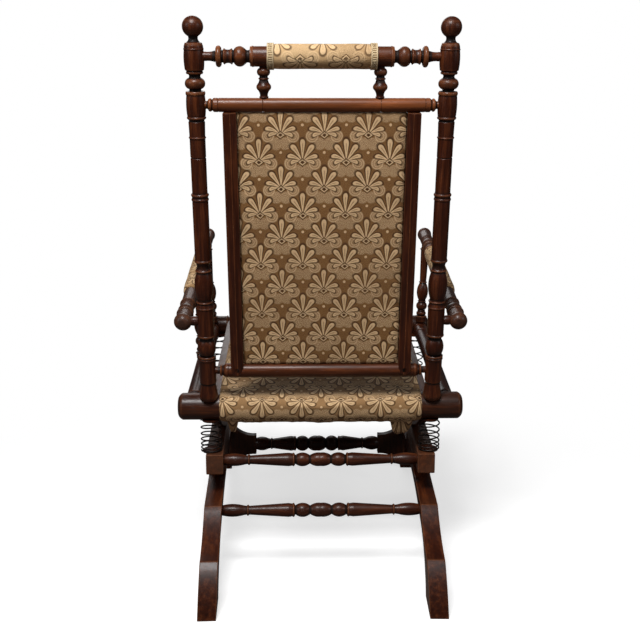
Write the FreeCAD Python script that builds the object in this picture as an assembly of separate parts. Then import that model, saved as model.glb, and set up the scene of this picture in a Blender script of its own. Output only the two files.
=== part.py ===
import FreeCAD
import Part

import math
import os

# A spring platform rocker of turned wood. Millimetres, +Z up, the sitter faces -Y.
# The origin is on the floor, midway between the four feet, straight below the line that the chair rocks on.

# The fixed base
TOE_REACH = 442.0          # from the rocking line to the tip of each foot
BASE_RAIL_REACH = 215.0    # half the length of a base rail
BASE_RAIL_TOP = 241.0
BASE_RAIL_HEIGHT = 42.0
BOARD_THICKNESS = 35.0     # base rails and legs
BASE_X_REAR = 218.0        # middle of a base rail below the rear seat rail
BASE_SPLAY = 2.2           # degrees that each side of the base opens to the front
SOLE_LENGTH = 87.0
TOE_HEIGHT = 93.0
SHOULDER_HEIGHT = 153.0
SHOULDER_REACH = 268.0
LEDGE_REACH = 126.0
LEDGE_RISE = 8.0
ARCH_HEIGHT = 142.0
LEG_DEPTH = 42.0           # below the shoulder
UPPER_STRETCHER_Y = 182.0
UPPER_STRETCHER_DROP = 22.0
LOWER_STRETCHER_Y = 233.0
LOWER_STRETCHER_Z = 129.0
FRONT_STRETCHER_DROP = 16.0
STRETCHER_RADIUS = 14.0
FRONT_STRETCHER_RADIUS = 19.0
BRACKET_REACH = 62.0
BRACKET_HEIGHT = 92.0
BRACKET_NECK = 50.0
BRACKET_THICKNESS = 22.0

# The rocking chair's seat frame
REAR_RAIL_Y = 185.0
REAR_RAIL_Z = 336.0
REAR_RAIL_RADIUS = 27.5
REAR_RAIL_HALF = 290.0
SEAT_LENGTH = 480.0        # rear rail to front rail
SEAT_RISE = 74.0
FRONT_RAIL_RADIUS = 22.5
FRONT_RAIL_HALF = 284.0
SIDE_RAIL_X = 262.0
SIDE_RAIL_RADIUS = 17.0
SIDE_RAIL_KNOB = 60.0      # turned part at its front end

# The rockers
ROCKER_X = 216.5
ROCKER_THICKNESS = 18.0
ROCKER_HALF = 152.0        # half the length of the curved sole
ROCKER_ARM = 30.0          # depth of the board where it meets the seat rails
NOSE_RADIUS = 50.0         # the sole's middle, which the chair turns on
NOSE_ANGLE = 10.0          # degrees of nose on each side, more than the chair ever rocks
SOLE_RADIUS = 480.0
ROCKER_CLEARANCE = 0.4
ROCKER_REAR_LET_IN = 5.0   # how deep a rocker board is let into each seat rail
ROCKER_FRONT_LET_IN = 11.0

# The leaning back
BACK_LEAN = 10.0
POST_X = 226.0
POST_BEHIND = 14.0         # post axis behind the rear rail's axis
POST_RADIUS = 15.0
BOTTOM_RAIL_UP = 84.0      # places along the posts, from the height of the rear rail's axis
ARM_UP = 190.0
TOP_RAIL_UP = 605.0
CREST_UP = 689.0
POST_TOP = 757.0
POST_RING_RISE = 240.0     # double ring of a post above its arm, and the scored line below its top rail
POST_LINE_DROP = 96.0
TOP_RAIL_LINES = 78.0      # between the two scored lines of the top rail
TOP_RAIL_RADIUS = 12.5
BOTTOM_RAIL_RADIUS = 14.5
CREST_RADIUS = 17.5
NECK_RADIUS = 7.0
HEAD_ROLL_HALF = 97.0
HEAD_ROLL_PAD = 4.0
BRAID_WIDTH = 7.0
CREST_SPINDLE_X = 104.0
STILE_WIDTH = 24.0
STILE_DEPTH = 20.0
PANEL_HALF = 178.0         # middle of the back to the outer edge of a stile
BACK_PAD_DEPTH = 26.0
BACK_PAD_CROWN = 16.0
BACK_CLOTH = 2.0

# The arms
ARM_X = 270.0
ARM_RADIUS = 15.0
ARM_REAR_BEHIND = 18.0     # rear tip of the arm behind the post's axis
ARM_LENGTH = 560.0
ARM_SLOPE = 13.0
ARM_PAD_LENGTH = 250.0
ARM_PAD = 6.0
REAR_SPINDLE_REACH = 208.0 # from the rear rail's axis
FRONT_SPINDLE_INSET = 36.0 # from the front rail's axis
SPINDLE_RADIUS = 13.0

# Upholstery, springs and joints
SEAT_HALF = 206.0
SEAT_PAD = 6.0
SEAT_CROWN = 12.0
WEB_WIDTH = 50.0
WEB_THICKNESS = 2.0
WEB_COUNT = 4
SPRING_RADIUS = 20.5       # middle of the wire
WIRE_RADIUS = 1.5
REAR_SPRING_X = 225.0
FRONT_SPRING_FOOT_Y = -190.0
FRONT_SPRING_FOOT_X = 240.0
FRONT_SPRING_HEAD_Y = -280.0
FRONT_SPRING_HEAD_X = 250.0
REAR_TURNS = 6
FRONT_TURNS = 11
WIRE_SIDES = 6
SPRING_GAP = 0.3
PLUG_HEIGHT = 4.0          # the wooden plug inside each end of a spring
PLUG_CLEARANCE = 0.4
PLUG_LET_IN = 1.0
PLUG_STUD_RADIUS = 4.0
TENON_RADIUS = 6.0
TENON_DEPTH = 12.0
SHOULDER = 2.0             # how far a turned end is let into the piece that it joins
SCREW_RADIUS = 2.2
SCREW_BITE = 24.0          # depth of a screw in the piece that it holds
LEG_SCREW_Y = 30.0
SMALL_TURNING = 15.0       # beads and coves shorter than this are cut as two bevels
PLAIN_TURNING = 30.0       # and those shorter than this as three

FRONT_RAIL_Y = REAR_RAIL_Y - SEAT_LENGTH
FRONT_RAIL_Z = REAR_RAIL_Z + SEAT_RISE
PIVOT_Z = BASE_RAIL_TOP + ROCKER_CLEARANCE + NOSE_RADIUS

X = FreeCAD.Vector(1, 0, 0)
Y = FreeCAD.Vector(0, 1, 0)
Z = FreeCAD.Vector(0, 0, 1)


def at(x, y, z):
    return FreeCAD.Vector(x, y, z)


def toward(shape, start, direction):
    """Stands a shape made along +Z on a start point, pointing in a direction."""
    moved = shape.copy()
    moved.Placement = FreeCAD.Placement(start, FreeCAD.Rotation(Z, direction))
    return moved


def mirrored(shape):
    return shape.mirror(at(0, 0, 0), X)


def housed(host, *guests):
    """The host with a socket for each guest that is let into it."""
    for guest in guests:
        host = host.cut(guest)
    return host


def extruded(edges, direction):
    return Part.Face(Part.Wire(edges)).extrude(direction)


class Turning:
    """The outline of a piece made on a lathe, drawn along its axis from one end to the other."""

    def __init__(self, radius):
        self.length = 0.0
        self.radius = radius
        self.edges = [Part.makeLine(at(0, 0, 0), at(radius, 0, 0))]

    def run(self, length, radius=None):
        """A plain stretch, or a taper where it ends on another radius."""
        end = self.radius if radius is None else radius
        here = at(self.radius, 0, self.length)
        self.edges.append(Part.makeLine(here, at(end, 0, self.length + length)))
        self.length += length
        self.radius = end
        return self

    def to(self, place, radius=None):
        return self.run(place - self.length, radius)

    def step(self, radius):
        return self.run(0.0, radius)

    def curve(self, length, middle, radius=None):
        """A bead, a cove or a swelling: an arc through the radius at its middle, or bevels if it is small."""
        end = self.radius if radius is None else radius
        if length < SMALL_TURNING:
            return self.run(length / 2, middle).run(length / 2, end)
        if length < PLAIN_TURNING:
            quarter = length / 4
            rise = (middle - self.radius) * 0.8
            fall = (middle - end) * 0.8
            return self.run(quarter, self.radius + rise).run(2 * quarter, end + fall).run(quarter, end)
        here = at(self.radius, 0, self.length)
        half = at(middle, 0, self.length + length / 2)
        self.edges.append(Part.Arc(here, half, at(end, 0, self.length + length)).toShape())
        self.length += length
        self.radius = end
        return self

    def ring(self, height, width=4.0):
        """A thin raised ring with a sharp crest."""
        return self.run(width / 2, self.radius + height).run(width / 2, self.radius - height)

    def solid(self):
        top = at(0, 0, self.length)
        close = [Part.makeLine(at(self.radius, 0, self.length), top), Part.makeLine(top, at(0, 0, 0))]
        face = Part.Face(Part.Wire(self.edges + close))
        return face.revolve(at(0, 0, 0), Z, 360)

    def both_ways(self):
        """The same turning on both sides of its start, along X."""
        half = toward(self.solid(), at(0, 0, 0), X)
        return half.fuse(mirrored(half)).removeSplitter()


def tenon(start, direction, length=TENON_DEPTH + SHOULDER):
    return toward(Part.makeCylinder(TENON_RADIUS, length), start, direction)


# The base

def base_x(y):
    """Middle of a base rail at a place along it."""
    return BASE_X_REAR + (REAR_RAIL_Y - y) * math.tan(math.radians(BASE_SPLAY))


def splayed(shape):
    """Opens a side piece, made straight at the base's rear width, to the front."""
    turned = shape.copy()
    turned.rotate(at(BASE_X_REAR, REAR_RAIL_Y, 0), Z, BASE_SPLAY)
    return turned


def base_rail():
    corner = at(BASE_X_REAR - BOARD_THICKNESS / 2, -BASE_RAIL_REACH, BASE_RAIL_TOP - BASE_RAIL_HEIGHT)
    return splayed(Part.makeBox(BOARD_THICKNESS, 2 * BASE_RAIL_REACH, BASE_RAIL_HEIGHT, corner))


def leg(front):
    """A sawn leg: flat sole, cyma back, a crisp shoulder with a level ledge, and half of the arch."""
    under = BASE_RAIL_TOP - BASE_RAIL_HEIGHT
    heel = TOE_REACH - SOLE_LENGTH
    ledge_end = SHOULDER_HEIGHT + LEDGE_RISE
    foot_top = TOE_REACH - 0.6 * SOLE_LENGTH
    knee = SHOULDER_REACH + 6
    knee_under = SHOULDER_HEIGHT - LEG_DEPTH

    def p(reach, z):
        return at(0, reach, z)

    edges = [
        Part.makeLine(p(heel, 0), p(TOE_REACH, 0)),
        Part.Arc(p(TOE_REACH, 0), p(TOE_REACH - 20, TOE_HEIGHT * 0.56), p(foot_top, TOE_HEIGHT)).toShape(),
        Part.Arc(p(foot_top, TOE_HEIGHT), p((foot_top + SHOULDER_REACH) / 2 - 6, TOE_HEIGHT + 20),
                 p(SHOULDER_REACH, SHOULDER_HEIGHT)).toShape(),
        Part.makeLine(p(SHOULDER_REACH, SHOULDER_HEIGHT), p(LEDGE_REACH, ledge_end)),
        Part.Arc(p(LEDGE_REACH, ledge_end), p(LEDGE_REACH - 28, ledge_end + 12),
                 p(LEDGE_REACH - 40, under)).toShape(),
        Part.makeLine(p(LEDGE_REACH - 40, under), p(0, under)),
        Part.makeLine(p(0, under), p(0, ARCH_HEIGHT)),
        Part.Arc(p(0, ARCH_HEIGHT), p(knee * 0.66, ARCH_HEIGHT - 10), p(knee, knee_under)).toShape(),
        Part.Arc(p(knee, knee_under), p(heel - 16, knee_under * 0.6), p(heel, 0)).toShape(),
    ]
    board = extruded(edges, X * BOARD_THICKNESS)
    board.translate(X * (BASE_X_REAR - BOARD_THICKNESS / 2))
    if front:
        board = board.mirror(at(0, 0, 0), Y)
    return splayed(board)


def inner_x(y):
    """Inner face of a side of the base at a place along it."""
    return base_x(y) - BOARD_THICKNESS / 2 / math.cos(math.radians(BASE_SPLAY))


def stretcher(y, z, radius, reach):
    """A turned stretcher: a barrel with a ball on each side, long cones, and cups at the ends."""
    barrel = 22.0
    cone = 58.0
    collar = 0.72 * reach
    half = Turning(radius)
    half.curve(barrel, radius * 0.97, radius * 0.62)
    half.curve(cone - 6 - barrel, radius * 1.02, radius * 0.66)
    half.run(2, radius * 0.92).ring(1.2)
    half.to(cone + 8, radius).to(collar, radius * 0.64)
    half.ring(2.2, 5.0)
    half.run(6, radius * 0.7).curve(reach - half.length, radius * 0.92, radius * 0.7)
    bar = half.both_ways()
    end = tenon(at(reach - SHOULDER, 0, 0), X)
    bar = bar.fuse([end, mirrored(end)])
    bar.translate(at(0, y, z))
    return bar


def bracket():
    """A sawn bracket with hollow edges that carries each end of the front stretcher."""
    y = -LOWER_STRETCHER_Y
    z = LOWER_STRETCHER_Z - FRONT_STRETCHER_DROP
    outer = inner_x(y)
    inner = outer - BRACKET_REACH
    high = BRACKET_HEIGHT / 2
    low = BRACKET_NECK / 2

    def p(x, up):
        return at(x, y - BRACKET_THICKNESS / 2, z + up)

    outer += 1
    hollow = (high + low) / 2 - 6
    middle = (outer + inner) / 2
    edges = [
        Part.makeLine(p(outer, -high), p(outer, high)),
        Part.makeLine(p(outer, high), p(outer - 8, high)),
        Part.Arc(p(outer - 8, high), p(middle, hollow), p(inner, low)).toShape(),
        Part.makeLine(p(inner, low), p(inner, -low)),
        Part.Arc(p(inner, -low), p(middle, -hollow), p(outer - 8, -high)).toShape(),
        Part.makeLine(p(outer - 8, -high), p(outer, -high)),
    ]
    return extruded(edges, Y * BRACKET_THICKNESS)


# The seat frame and rockers

def rear_seat_rail():
    half = Turning(REAR_RAIL_RADIUS)
    half.to(REAR_RAIL_HALF - 9).curve(9, REAR_RAIL_RADIUS - 2.6, REAR_RAIL_RADIUS - 9)
    rail = half.both_ways()
    rail.translate(at(0, REAR_RAIL_Y, REAR_RAIL_Z))
    return rail


def front_seat_rail():
    radius = FRONT_RAIL_RADIUS
    half = Turning(radius - 3)
    half.to(SEAT_HALF + 4).step(radius - 5).curve(12, radius - 8, radius - 5).run(3, radius)
    half.ring(1.5).to(FRONT_RAIL_HALF - 8).curve(8, radius - 2, radius - 8)
    rail = half.both_ways()
    rail.translate(at(0, FRONT_RAIL_Y, FRONT_RAIL_Z))
    return rail


def seat_direction():
    return at(0, FRONT_RAIL_Y - REAR_RAIL_Y, SEAT_RISE).normalize()


def side_rail():
    start = at(SIDE_RAIL_X, REAR_RAIL_Y, REAR_RAIL_Z)
    direction = seat_direction()
    total = math.hypot(SEAT_LENGTH, SEAT_RISE)
    first = REAR_RAIL_RADIUS - SHOULDER
    last = total - FRONT_RAIL_RADIUS + SHOULDER
    radius = SIDE_RAIL_RADIUS
    bar = Turning(radius - 4)
    bar.curve(14, radius - 1, radius - 4).run(3, radius).to(last - first - SIDE_RAIL_KNOB)
    bar.ring(1.5).run(26).run(3, radius - 4).curve(18, radius, radius - 5)
    bar.to(last - first)
    rail = toward(bar.solid(), start + direction * first, direction)
    ends = [tenon(start + direction * (first + SHOULDER), direction * -1),
            tenon(start + direction * (last - SHOULDER), direction)]
    return rail.fuse(ends)


def rocker():
    """A rocker board let in between the seat rails, with a small nose in the middle of its sole."""
    nose = math.radians(NOSE_ANGLE)
    nose_y = NOSE_RADIUS * math.sin(nose)
    nose_z = PIVOT_Z - NOSE_RADIUS * math.cos(nose)
    turn = math.asin(math.sin(nose) + (ROCKER_HALF - nose_y) / SOLE_RADIUS)
    mid_turn = (nose + turn) / 2

    def sole(angle):
        """A point of the long arc that carries on from the nose."""
        return at(0, nose_y + SOLE_RADIUS * (math.sin(angle) - math.sin(nose)),
                  nose_z + SOLE_RADIUS * (math.cos(nose) - math.cos(angle)))

    def flip(point):
        return at(point.x, -point.y, point.z)

    tip, mid = sole(turn), sole(mid_turn)
    touch = at(0, nose_y, nose_z)
    slope = SEAT_RISE / SEAT_LENGTH

    def level(y, up):
        """A point above or below the line through the two seat rails."""
        return at(0, y, REAR_RAIL_Z + (REAR_RAIL_Y - y) * slope + up)

    arm = ROCKER_ARM / 2
    back = REAR_RAIL_Y - REAR_RAIL_RADIUS + ROCKER_REAR_LET_IN
    front = FRONT_RAIL_Y + FRONT_RAIL_RADIUS - ROCKER_FRONT_LET_IN
    front_low = level(flip(tip).y - 22, -arm)
    rear_low = at(0, back, tip.z + 12)
    edges = [
        Part.Arc(flip(touch), at(0, 0, PIVOT_Z - NOSE_RADIUS), touch).toShape(),
        Part.Arc(touch, mid, tip).toShape(),
        Part.makeLine(tip, rear_low),
        Part.makeLine(rear_low, level(back, arm)),
        Part.makeLine(level(back, arm), level(front, arm)),
        Part.makeLine(level(front, arm), level(front, -arm)),
        Part.makeLine(level(front, -arm), front_low),
        Part.Arc(front_low, at(0, flip(tip).y - 4, (front_low.z + tip.z) / 2 + 8), flip(tip)).toShape(),
        Part.Arc(flip(tip), flip(mid), flip(touch)).toShape(),
    ]
    board = extruded(edges, X * ROCKER_THICKNESS)
    board.translate(X * (ROCKER_X - ROCKER_THICKNESS / 2))
    return board


# The back, made upright on the rear rail's axis and then leaned

def leaned(shape):
    back = shape.copy()
    back.translate(at(0, REAR_RAIL_Y + POST_BEHIND, REAR_RAIL_Z))
    back.rotate(at(0, REAR_RAIL_Y + POST_BEHIND, REAR_RAIL_Z), X, -BACK_LEAN)
    return back


def back_point(x, behind, up):
    """A point of the upright back, where it lies once leaned."""
    lean = math.radians(BACK_LEAN)
    return at(x, REAR_RAIL_Y + POST_BEHIND + behind * math.cos(lean) + up * math.sin(lean),
              REAR_RAIL_Z + up * math.cos(lean) - behind * math.sin(lean))


def back_post():
    """A tall turned post: foot, ring-turned blocks at each joint, two vases and a ball finial."""
    r = POST_RADIUS
    foot = 16.0
    post = Turning(r - 7)

    def to(up, radius=None):
        post.to(up - foot, radius)

    post.curve(14, r + 1.5, r + 3.4)
    to(BOTTOM_RAIL_UP - 26, r - 0.5)
    post.run(2, r + 1.5)
    to(BOTTOM_RAIL_UP + 23)
    post.ring(1.2, 5).ring(1.2, 5)
    post.step(r - 2).curve(34, r + 3, r - 2).run(4).run(2, r + 1)
    post.ring(1.4, 5).step(r + 1.5)
    to(ARM_UP + 26)
    post.ring(1.0).run(8, r - 0.5).ring(2.0).run(3, r - 1)
    post.curve(56, r + 3.4, r - 1.5).ring(2.0, 5).curve(14, r - 3, r - 0.5).ring(1.8, 6)
    post.step(r)
    to(ARM_UP + POST_RING_RISE)
    post.ring(1.2, 5).run(3).ring(1.6, 6).step(r - 0.7)
    to(TOP_RAIL_UP - POST_LINE_DROP)
    post.ring(-0.8, 3)
    to(TOP_RAIL_UP - 60)
    post.ring(1.4).run(31, r).ring(1.8, 5).step(r + 0.8)
    to(TOP_RAIL_UP + 18)
    post.ring(1.2, 8).step(r - 3).curve(20, r + 3.2, r - 3).curve(9, r - 5, r - 1).ring(1.2, 5)
    to(CREST_UP + 18)
    post.run(3, r + 1.5).run(4, r).curve(9, r - 6.5, r - 6)
    post.curve(POST_TOP - foot - post.length, 1.18 * r, r - 12)
    body = post.solid()
    body.translate(at(POST_X, 0, foot))
    return leaned(body)


def rail_between_posts(half, up):
    """Puts a turned half rail between the posts at a height, with a tenon at each end."""
    bar = half.both_ways()
    end = tenon(at(half.length - SHOULDER, 0, 0), X)
    bar = bar.fuse([end, mirrored(end)])
    bar.translate(at(0, 0, up))
    return leaned(bar)


def rail_reach():
    return POST_X - POST_RADIUS + SHOULDER


def top_rail():
    r = TOP_RAIL_RADIUS
    half = Turning(r).to(CREST_SPINDLE_X + 1).ring(-0.8, 2).run(TOP_RAIL_LINES).ring(-0.8, 2)
    half.to(rail_reach() - 19).run(3, r - 3).ring(2.2, 7).curve(4, NECK_RADIUS, NECK_RADIUS)
    half.to(rail_reach())
    return rail_between_posts(half, TOP_RAIL_UP)


def bottom_rail():
    r = BOTTOM_RAIL_RADIUS
    half = Turning(r).to(rail_reach() - 30).ring(-0.8, 2).run(4).curve(8, r - 3, r - 5)
    half.ring(2.0).step(NECK_RADIUS).to(rail_reach())
    return rail_between_posts(half, BOTTOM_RAIL_UP)


def crest_rail():
    """The head rest's rail: plain where it is padded, a ball and rings to each side."""
    r = CREST_RADIUS
    half = Turning(r).to(HEAD_ROLL_HALF + 22).ring(0.8).step(r - 4)
    half.curve(8, r - 6, r - 4).run(2, r - 2).curve(30, r + 1.5, r - 5).ring(2.0)
    half.curve(8, r - 2, r - 6).ring(2.5, 6).run(3, r - 1).run(5, r - 3)
    half.curve(rail_reach() - half.length - 12, NECK_RADIUS + 1, NECK_RADIUS + 1).to(rail_reach())
    return rail_between_posts(half, CREST_UP)


def crest_spindle():
    """A short vase and bead that holds the crest rail above the top rail."""
    low = TOP_RAIL_UP + TOP_RAIL_RADIUS - SHOULDER
    high = CREST_UP - CREST_RADIUS + SHOULDER
    body = Turning(5).run(4).ring(2.5, 5).curve(16, 12, 7).ring(1.5, 3).curve(12, 10, 5.5)
    body.to(high - low)
    spindle = body.solid().fuse(Part.makeCylinder(4, high - low + 2 * SHOULDER + 8, at(0, 0, -SHOULDER - 4)))
    spindle.translate(at(CREST_SPINDLE_X, 0, low))
    return leaned(spindle)


def head_roll():
    full = CREST_RADIUS + HEAD_ROLL_PAD
    half = Turning(full).curve(HEAD_ROLL_HALF - BRAID_WIDTH, full - 0.2, full - 1.5)
    roll = half.both_ways().cut(Turning(CREST_RADIUS).run(HEAD_ROLL_HALF).both_ways())
    roll.translate(at(0, 0, CREST_UP))
    return leaned(roll)


def head_roll_braid():
    """A cord-edged braid that hides the tacks at one end of the head roll."""
    band = Turning(CREST_RADIUS + HEAD_ROLL_PAD - 2)
    band.curve(BRAID_WIDTH, CREST_RADIUS + HEAD_ROLL_PAD - 0.2)
    ring = band.solid().cut(Part.makeCylinder(CREST_RADIUS, BRAID_WIDTH))
    ring = toward(ring, at(HEAD_ROLL_HALF - BRAID_WIDTH, 0, CREST_UP), X)
    return leaned(Part.Compound([ring, mirrored(ring)]))


def stile():
    """An upright of the back panel: bevelled inside, its round lower end laps the bottom rail."""
    outer = PANEL_HALF
    inner = PANEL_HALF - STILE_WIDTH
    low = BOTTOM_RAIL_UP - 4
    high = TOP_RAIL_UP - TOP_RAIL_RADIUS
    rear = BOTTOM_RAIL_RADIUS + 4
    bevel = STILE_WIDTH * 0.45

    def p(x, behind):
        return at(x, behind, low)

    corners = [p(outer, rear), p(inner + bevel, rear), p(inner, rear - bevel * 0.6),
               p(inner, rear - STILE_DEPTH), p(outer, rear - STILE_DEPTH)]
    bar = Part.Face(Part.makePolygon(corners + corners[:1])).extrude(Z * (high - low))
    end = toward(Part.makeCylinder(STILE_WIDTH / 2, 3 * STILE_DEPTH),
                 at((outer + inner) / 2, -STILE_DEPTH, low + STILE_WIDTH / 2), Y)
    tail = Part.makeBox(STILE_WIDTH, 3 * STILE_DEPTH, STILE_WIDTH / 2, at(inner, -STILE_DEPTH, low))
    return leaned(bar.cut(tail.cut(end)))


def back_pad():
    """The padded back: flat behind, crowned toward the sitter, drawn in along its edges."""
    half = PANEL_HALF - STILE_WIDTH - 0.5
    low = BOTTOM_RAIL_UP + BOTTOM_RAIL_RADIUS + 0.5
    high = TOP_RAIL_UP - TOP_RAIL_RADIUS - 0.5
    rear = 4.0
    middle = (low + high) / 2

    def outline(behind, shrink):
        corners = [at(-half + shrink, behind, low + shrink), at(half - shrink, behind, low + shrink),
                   at(half - shrink, behind, high - shrink), at(-half + shrink, behind, high - shrink)]
        return Part.makePolygon(corners + corners[:1])

    slab = Part.makeLoft([outline(rear, 0), outline(rear - BACK_PAD_DEPTH * 0.7, 0),
                          outline(rear - BACK_PAD_DEPTH, 9)], True, True)
    front = rear - BACK_PAD_DEPTH

    def crown(up, rise):
        side = half - 9
        edge = Part.Arc(at(-side, front, up), at(0, front - rise, up), at(side, front, up)).toShape()
        return Part.Wire([edge, Part.makeLine(at(side, front, up), at(-side, front, up))])

    thin = 1.0
    crowns = [crown(low + 9, thin), crown(middle, BACK_PAD_CROWN), crown(high - 9, thin)]
    return leaned(slab.fuse(Part.makeLoft(crowns, True, False)).removeSplitter())


def back_cloth():
    """The outside back: cloth drawn over a thin liner between the stiles."""
    half = PANEL_HALF - STILE_WIDTH - 0.5
    low = BOTTOM_RAIL_UP + BOTTOM_RAIL_RADIUS + 0.5
    high = TOP_RAIL_UP - TOP_RAIL_RADIUS - 0.5
    panel = Part.makeBox(2 * half, BACK_CLOTH, high - low, at(-half, 4.5, low))
    return leaned(panel)


# The arms

def arm_direction():
    slope = math.radians(ARM_SLOPE)
    return at(0, -math.cos(slope), math.sin(slope))


def arm_start():
    beside = back_point(ARM_X, 0, ARM_UP)
    return beside - arm_direction() * ARM_REAR_BEHIND


def arm_pad_start():
    return (ARM_LENGTH - ARM_PAD_LENGTH) / 2 + 8


def arm():
    """A turned arm: knobs and rings at both ends, plain where the pad wraps it."""
    r = ARM_RADIUS
    bar = Turning(r - 7).curve(26, r + 2.5, r - 2).run(2, r).run(20).ring(2.0)
    bar.run(2, r - 3).curve(24, r + 1, r - 3).ring(2.5, 5).run(14, r - 1).ring(2.0)
    bar.to(arm_pad_start() - 2).step(r - 3).run(ARM_PAD_LENGTH + 4).step(r)
    bar.ring(2.0).curve(24, r - 3, r - 1).ring(2.5, 5).run(2, r - 3).curve(26, r + 1.5, r - 3)
    bar.ring(2.5, 5).run(16, r).to(ARM_LENGTH - 24, r).curve(24, r + 1.5, r - 9)
    return toward(bar.solid(), arm_start(), arm_direction())


def arm_pad():
    r = ARM_RADIUS - 3
    full = r + ARM_PAD
    start = arm_start() + arm_direction() * arm_pad_start()
    pad = Turning(r + 2).curve(18, full, full + 1).run(ARM_PAD_LENGTH - 36).curve(18, full, r + 2)
    return toward(pad.solid().cut(Part.makeCylinder(r, ARM_PAD_LENGTH)), start, arm_direction())


def arm_dowel():
    start = back_point(POST_X + POST_RADIUS - SHOULDER, 0, ARM_UP)
    gap = ARM_X - ARM_RADIUS - POST_X - POST_RADIUS + 2 * SHOULDER
    body = Turning(8).curve(gap, 9.5).solid()
    body = body.fuse(Part.makeCylinder(TENON_RADIUS, gap + 16, at(0, 0, -8)))
    return toward(body, start, X)


def arm_spindle(foot_y):
    """A turned arm support between the side rail and the arm: vase, ball and small ball."""
    along = (arm_start().y - foot_y) / math.cos(math.radians(ARM_SLOPE))
    head = arm_start() + arm_direction() * along
    slope = SEAT_RISE / SEAT_LENGTH
    low = REAR_RAIL_Z + (REAR_RAIL_Y - foot_y) * slope + SIDE_RAIL_RADIUS - SHOULDER
    high = head.z - ARM_RADIUS + SHOULDER
    lean = at(ARM_X - SIDE_RAIL_X, 0, high - low)
    total = lean.Length
    r = SPINDLE_RADIUS
    body = Turning(r - 4).run(6, r).run(10).ring(1.5).step(r - 5).curve(12, r - 1, r - 5)
    body.ring(2.0, 3).curve(20, r + 0.5, r - 5).ring(2.5).curve(44, r + 1, r - 5).ring(2.0)
    body.run(total - body.length - 18, r - 3).ring(2.0).curve(14, r - 5, r - 2)
    body = body.solid().fuse([Part.makeCylinder(TENON_RADIUS, 10, at(0, 0, -9)),
                              Part.makeCylinder(TENON_RADIUS, 10, at(0, 0, total - 1))])
    return toward(body, at(SIDE_RAIL_X, foot_y, low), lean)


# Upholstery of the seat

def seat_pad():
    """The seat: a crowned pad from rail to rail whose cloth is wrapped round both rails."""
    def wrap(rail_radius, y, z):
        full = rail_radius + SEAT_PAD
        half = Turning(full).run(SEAT_HALF - 30).curve(30, full - 0.8, full - 3.5)
        sleeve = half.both_ways()
        sleeve.translate(at(0, y, z))
        return sleeve

    def section(x, draw, crown):
        """The pad cut across the seat: the side sections are drawn in."""
        rear = at(x, REAR_RAIL_Y, REAR_RAIL_Z + REAR_RAIL_RADIUS + SEAT_PAD - draw)
        front = at(x, FRONT_RAIL_Y, FRONT_RAIL_Z + FRONT_RAIL_RADIUS + SEAT_PAD - 3 - draw)
        top = (rear + front) * 0.5 + Z * crown
        rear_low, front_low = at(x, REAR_RAIL_Y, REAR_RAIL_Z + draw), at(x, FRONT_RAIL_Y, FRONT_RAIL_Z + draw)
        edges = [Part.Arc(rear, top, front).toShape(), Part.makeLine(front, front_low),
                 Part.makeLine(front_low, rear_low), Part.makeLine(rear_low, rear)]
        return Part.Wire(edges)

    side = SEAT_HALF - 30
    halves = [section(-SEAT_HALF, 4, 1), section(-side, 0, SEAT_CROWN * 0.7), section(0, 0, SEAT_CROWN),
              section(side, 0, SEAT_CROWN * 0.7), section(SEAT_HALF, 4, 1)]
    slab = Part.makeLoft(halves, True, True)
    rear = wrap(REAR_RAIL_RADIUS, REAR_RAIL_Y, REAR_RAIL_Z)
    front = wrap(FRONT_RAIL_RADIUS - 3, FRONT_RAIL_Y, FRONT_RAIL_Z)
    return slab.fuse([rear, front])


def seat_webbing():
    """Webbing straps stretched from rail to rail under the pad."""
    direction = seat_direction()
    length = math.hypot(SEAT_LENGTH, SEAT_RISE) - REAR_RAIL_RADIUS - FRONT_RAIL_RADIUS - 2 * SEAT_PAD - 4
    first = REAR_RAIL_RADIUS + SEAT_PAD + 2
    pitch = 2 * (ROCKER_X - ROCKER_THICKNESS) / (WEB_COUNT + 0.5)
    straps = []
    for i in range(WEB_COUNT):
        x = (i - (WEB_COUNT - 1) / 2) * pitch
        strap = Part.makeBox(WEB_WIDTH, WEB_THICKNESS, length, at(-WEB_WIDTH / 2, -WEB_THICKNESS, 0))
        straps.append(toward(strap, at(x, REAR_RAIL_Y, REAR_RAIL_Z) + direction * first, direction))
    return Part.Compound(straps)


# Springs

def biarc(p0, t0, p1, t1):
    """Two arcs that leave p0 along t0 and reach p1 along t1."""
    v = p1 - p0
    both = t0 + t1
    bend = 2 * (1 - t0.dot(t1))
    d = (-v.dot(both) + math.sqrt(v.dot(both) ** 2 + bend * v.dot(v))) / bend
    q0, q1 = p0 + t0 * d, p1 - t1 * d
    joint = (q0 + q1) * 0.5
    return [tangent_arc(p0, q0, joint), tangent_arc(joint, q1, p1)]


def tangent_arc(a, corner, b):
    """The arc from a to b whose end tangents meet at the corner."""
    middle = (a + b) * 0.5
    out = corner - middle
    chord = (b - a).Length / 2
    sag = chord * math.tan(math.atan2(out.Length, chord) / 2)
    return Part.Arc(a, middle + out.normalize() * sag, b).toShape()


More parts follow.
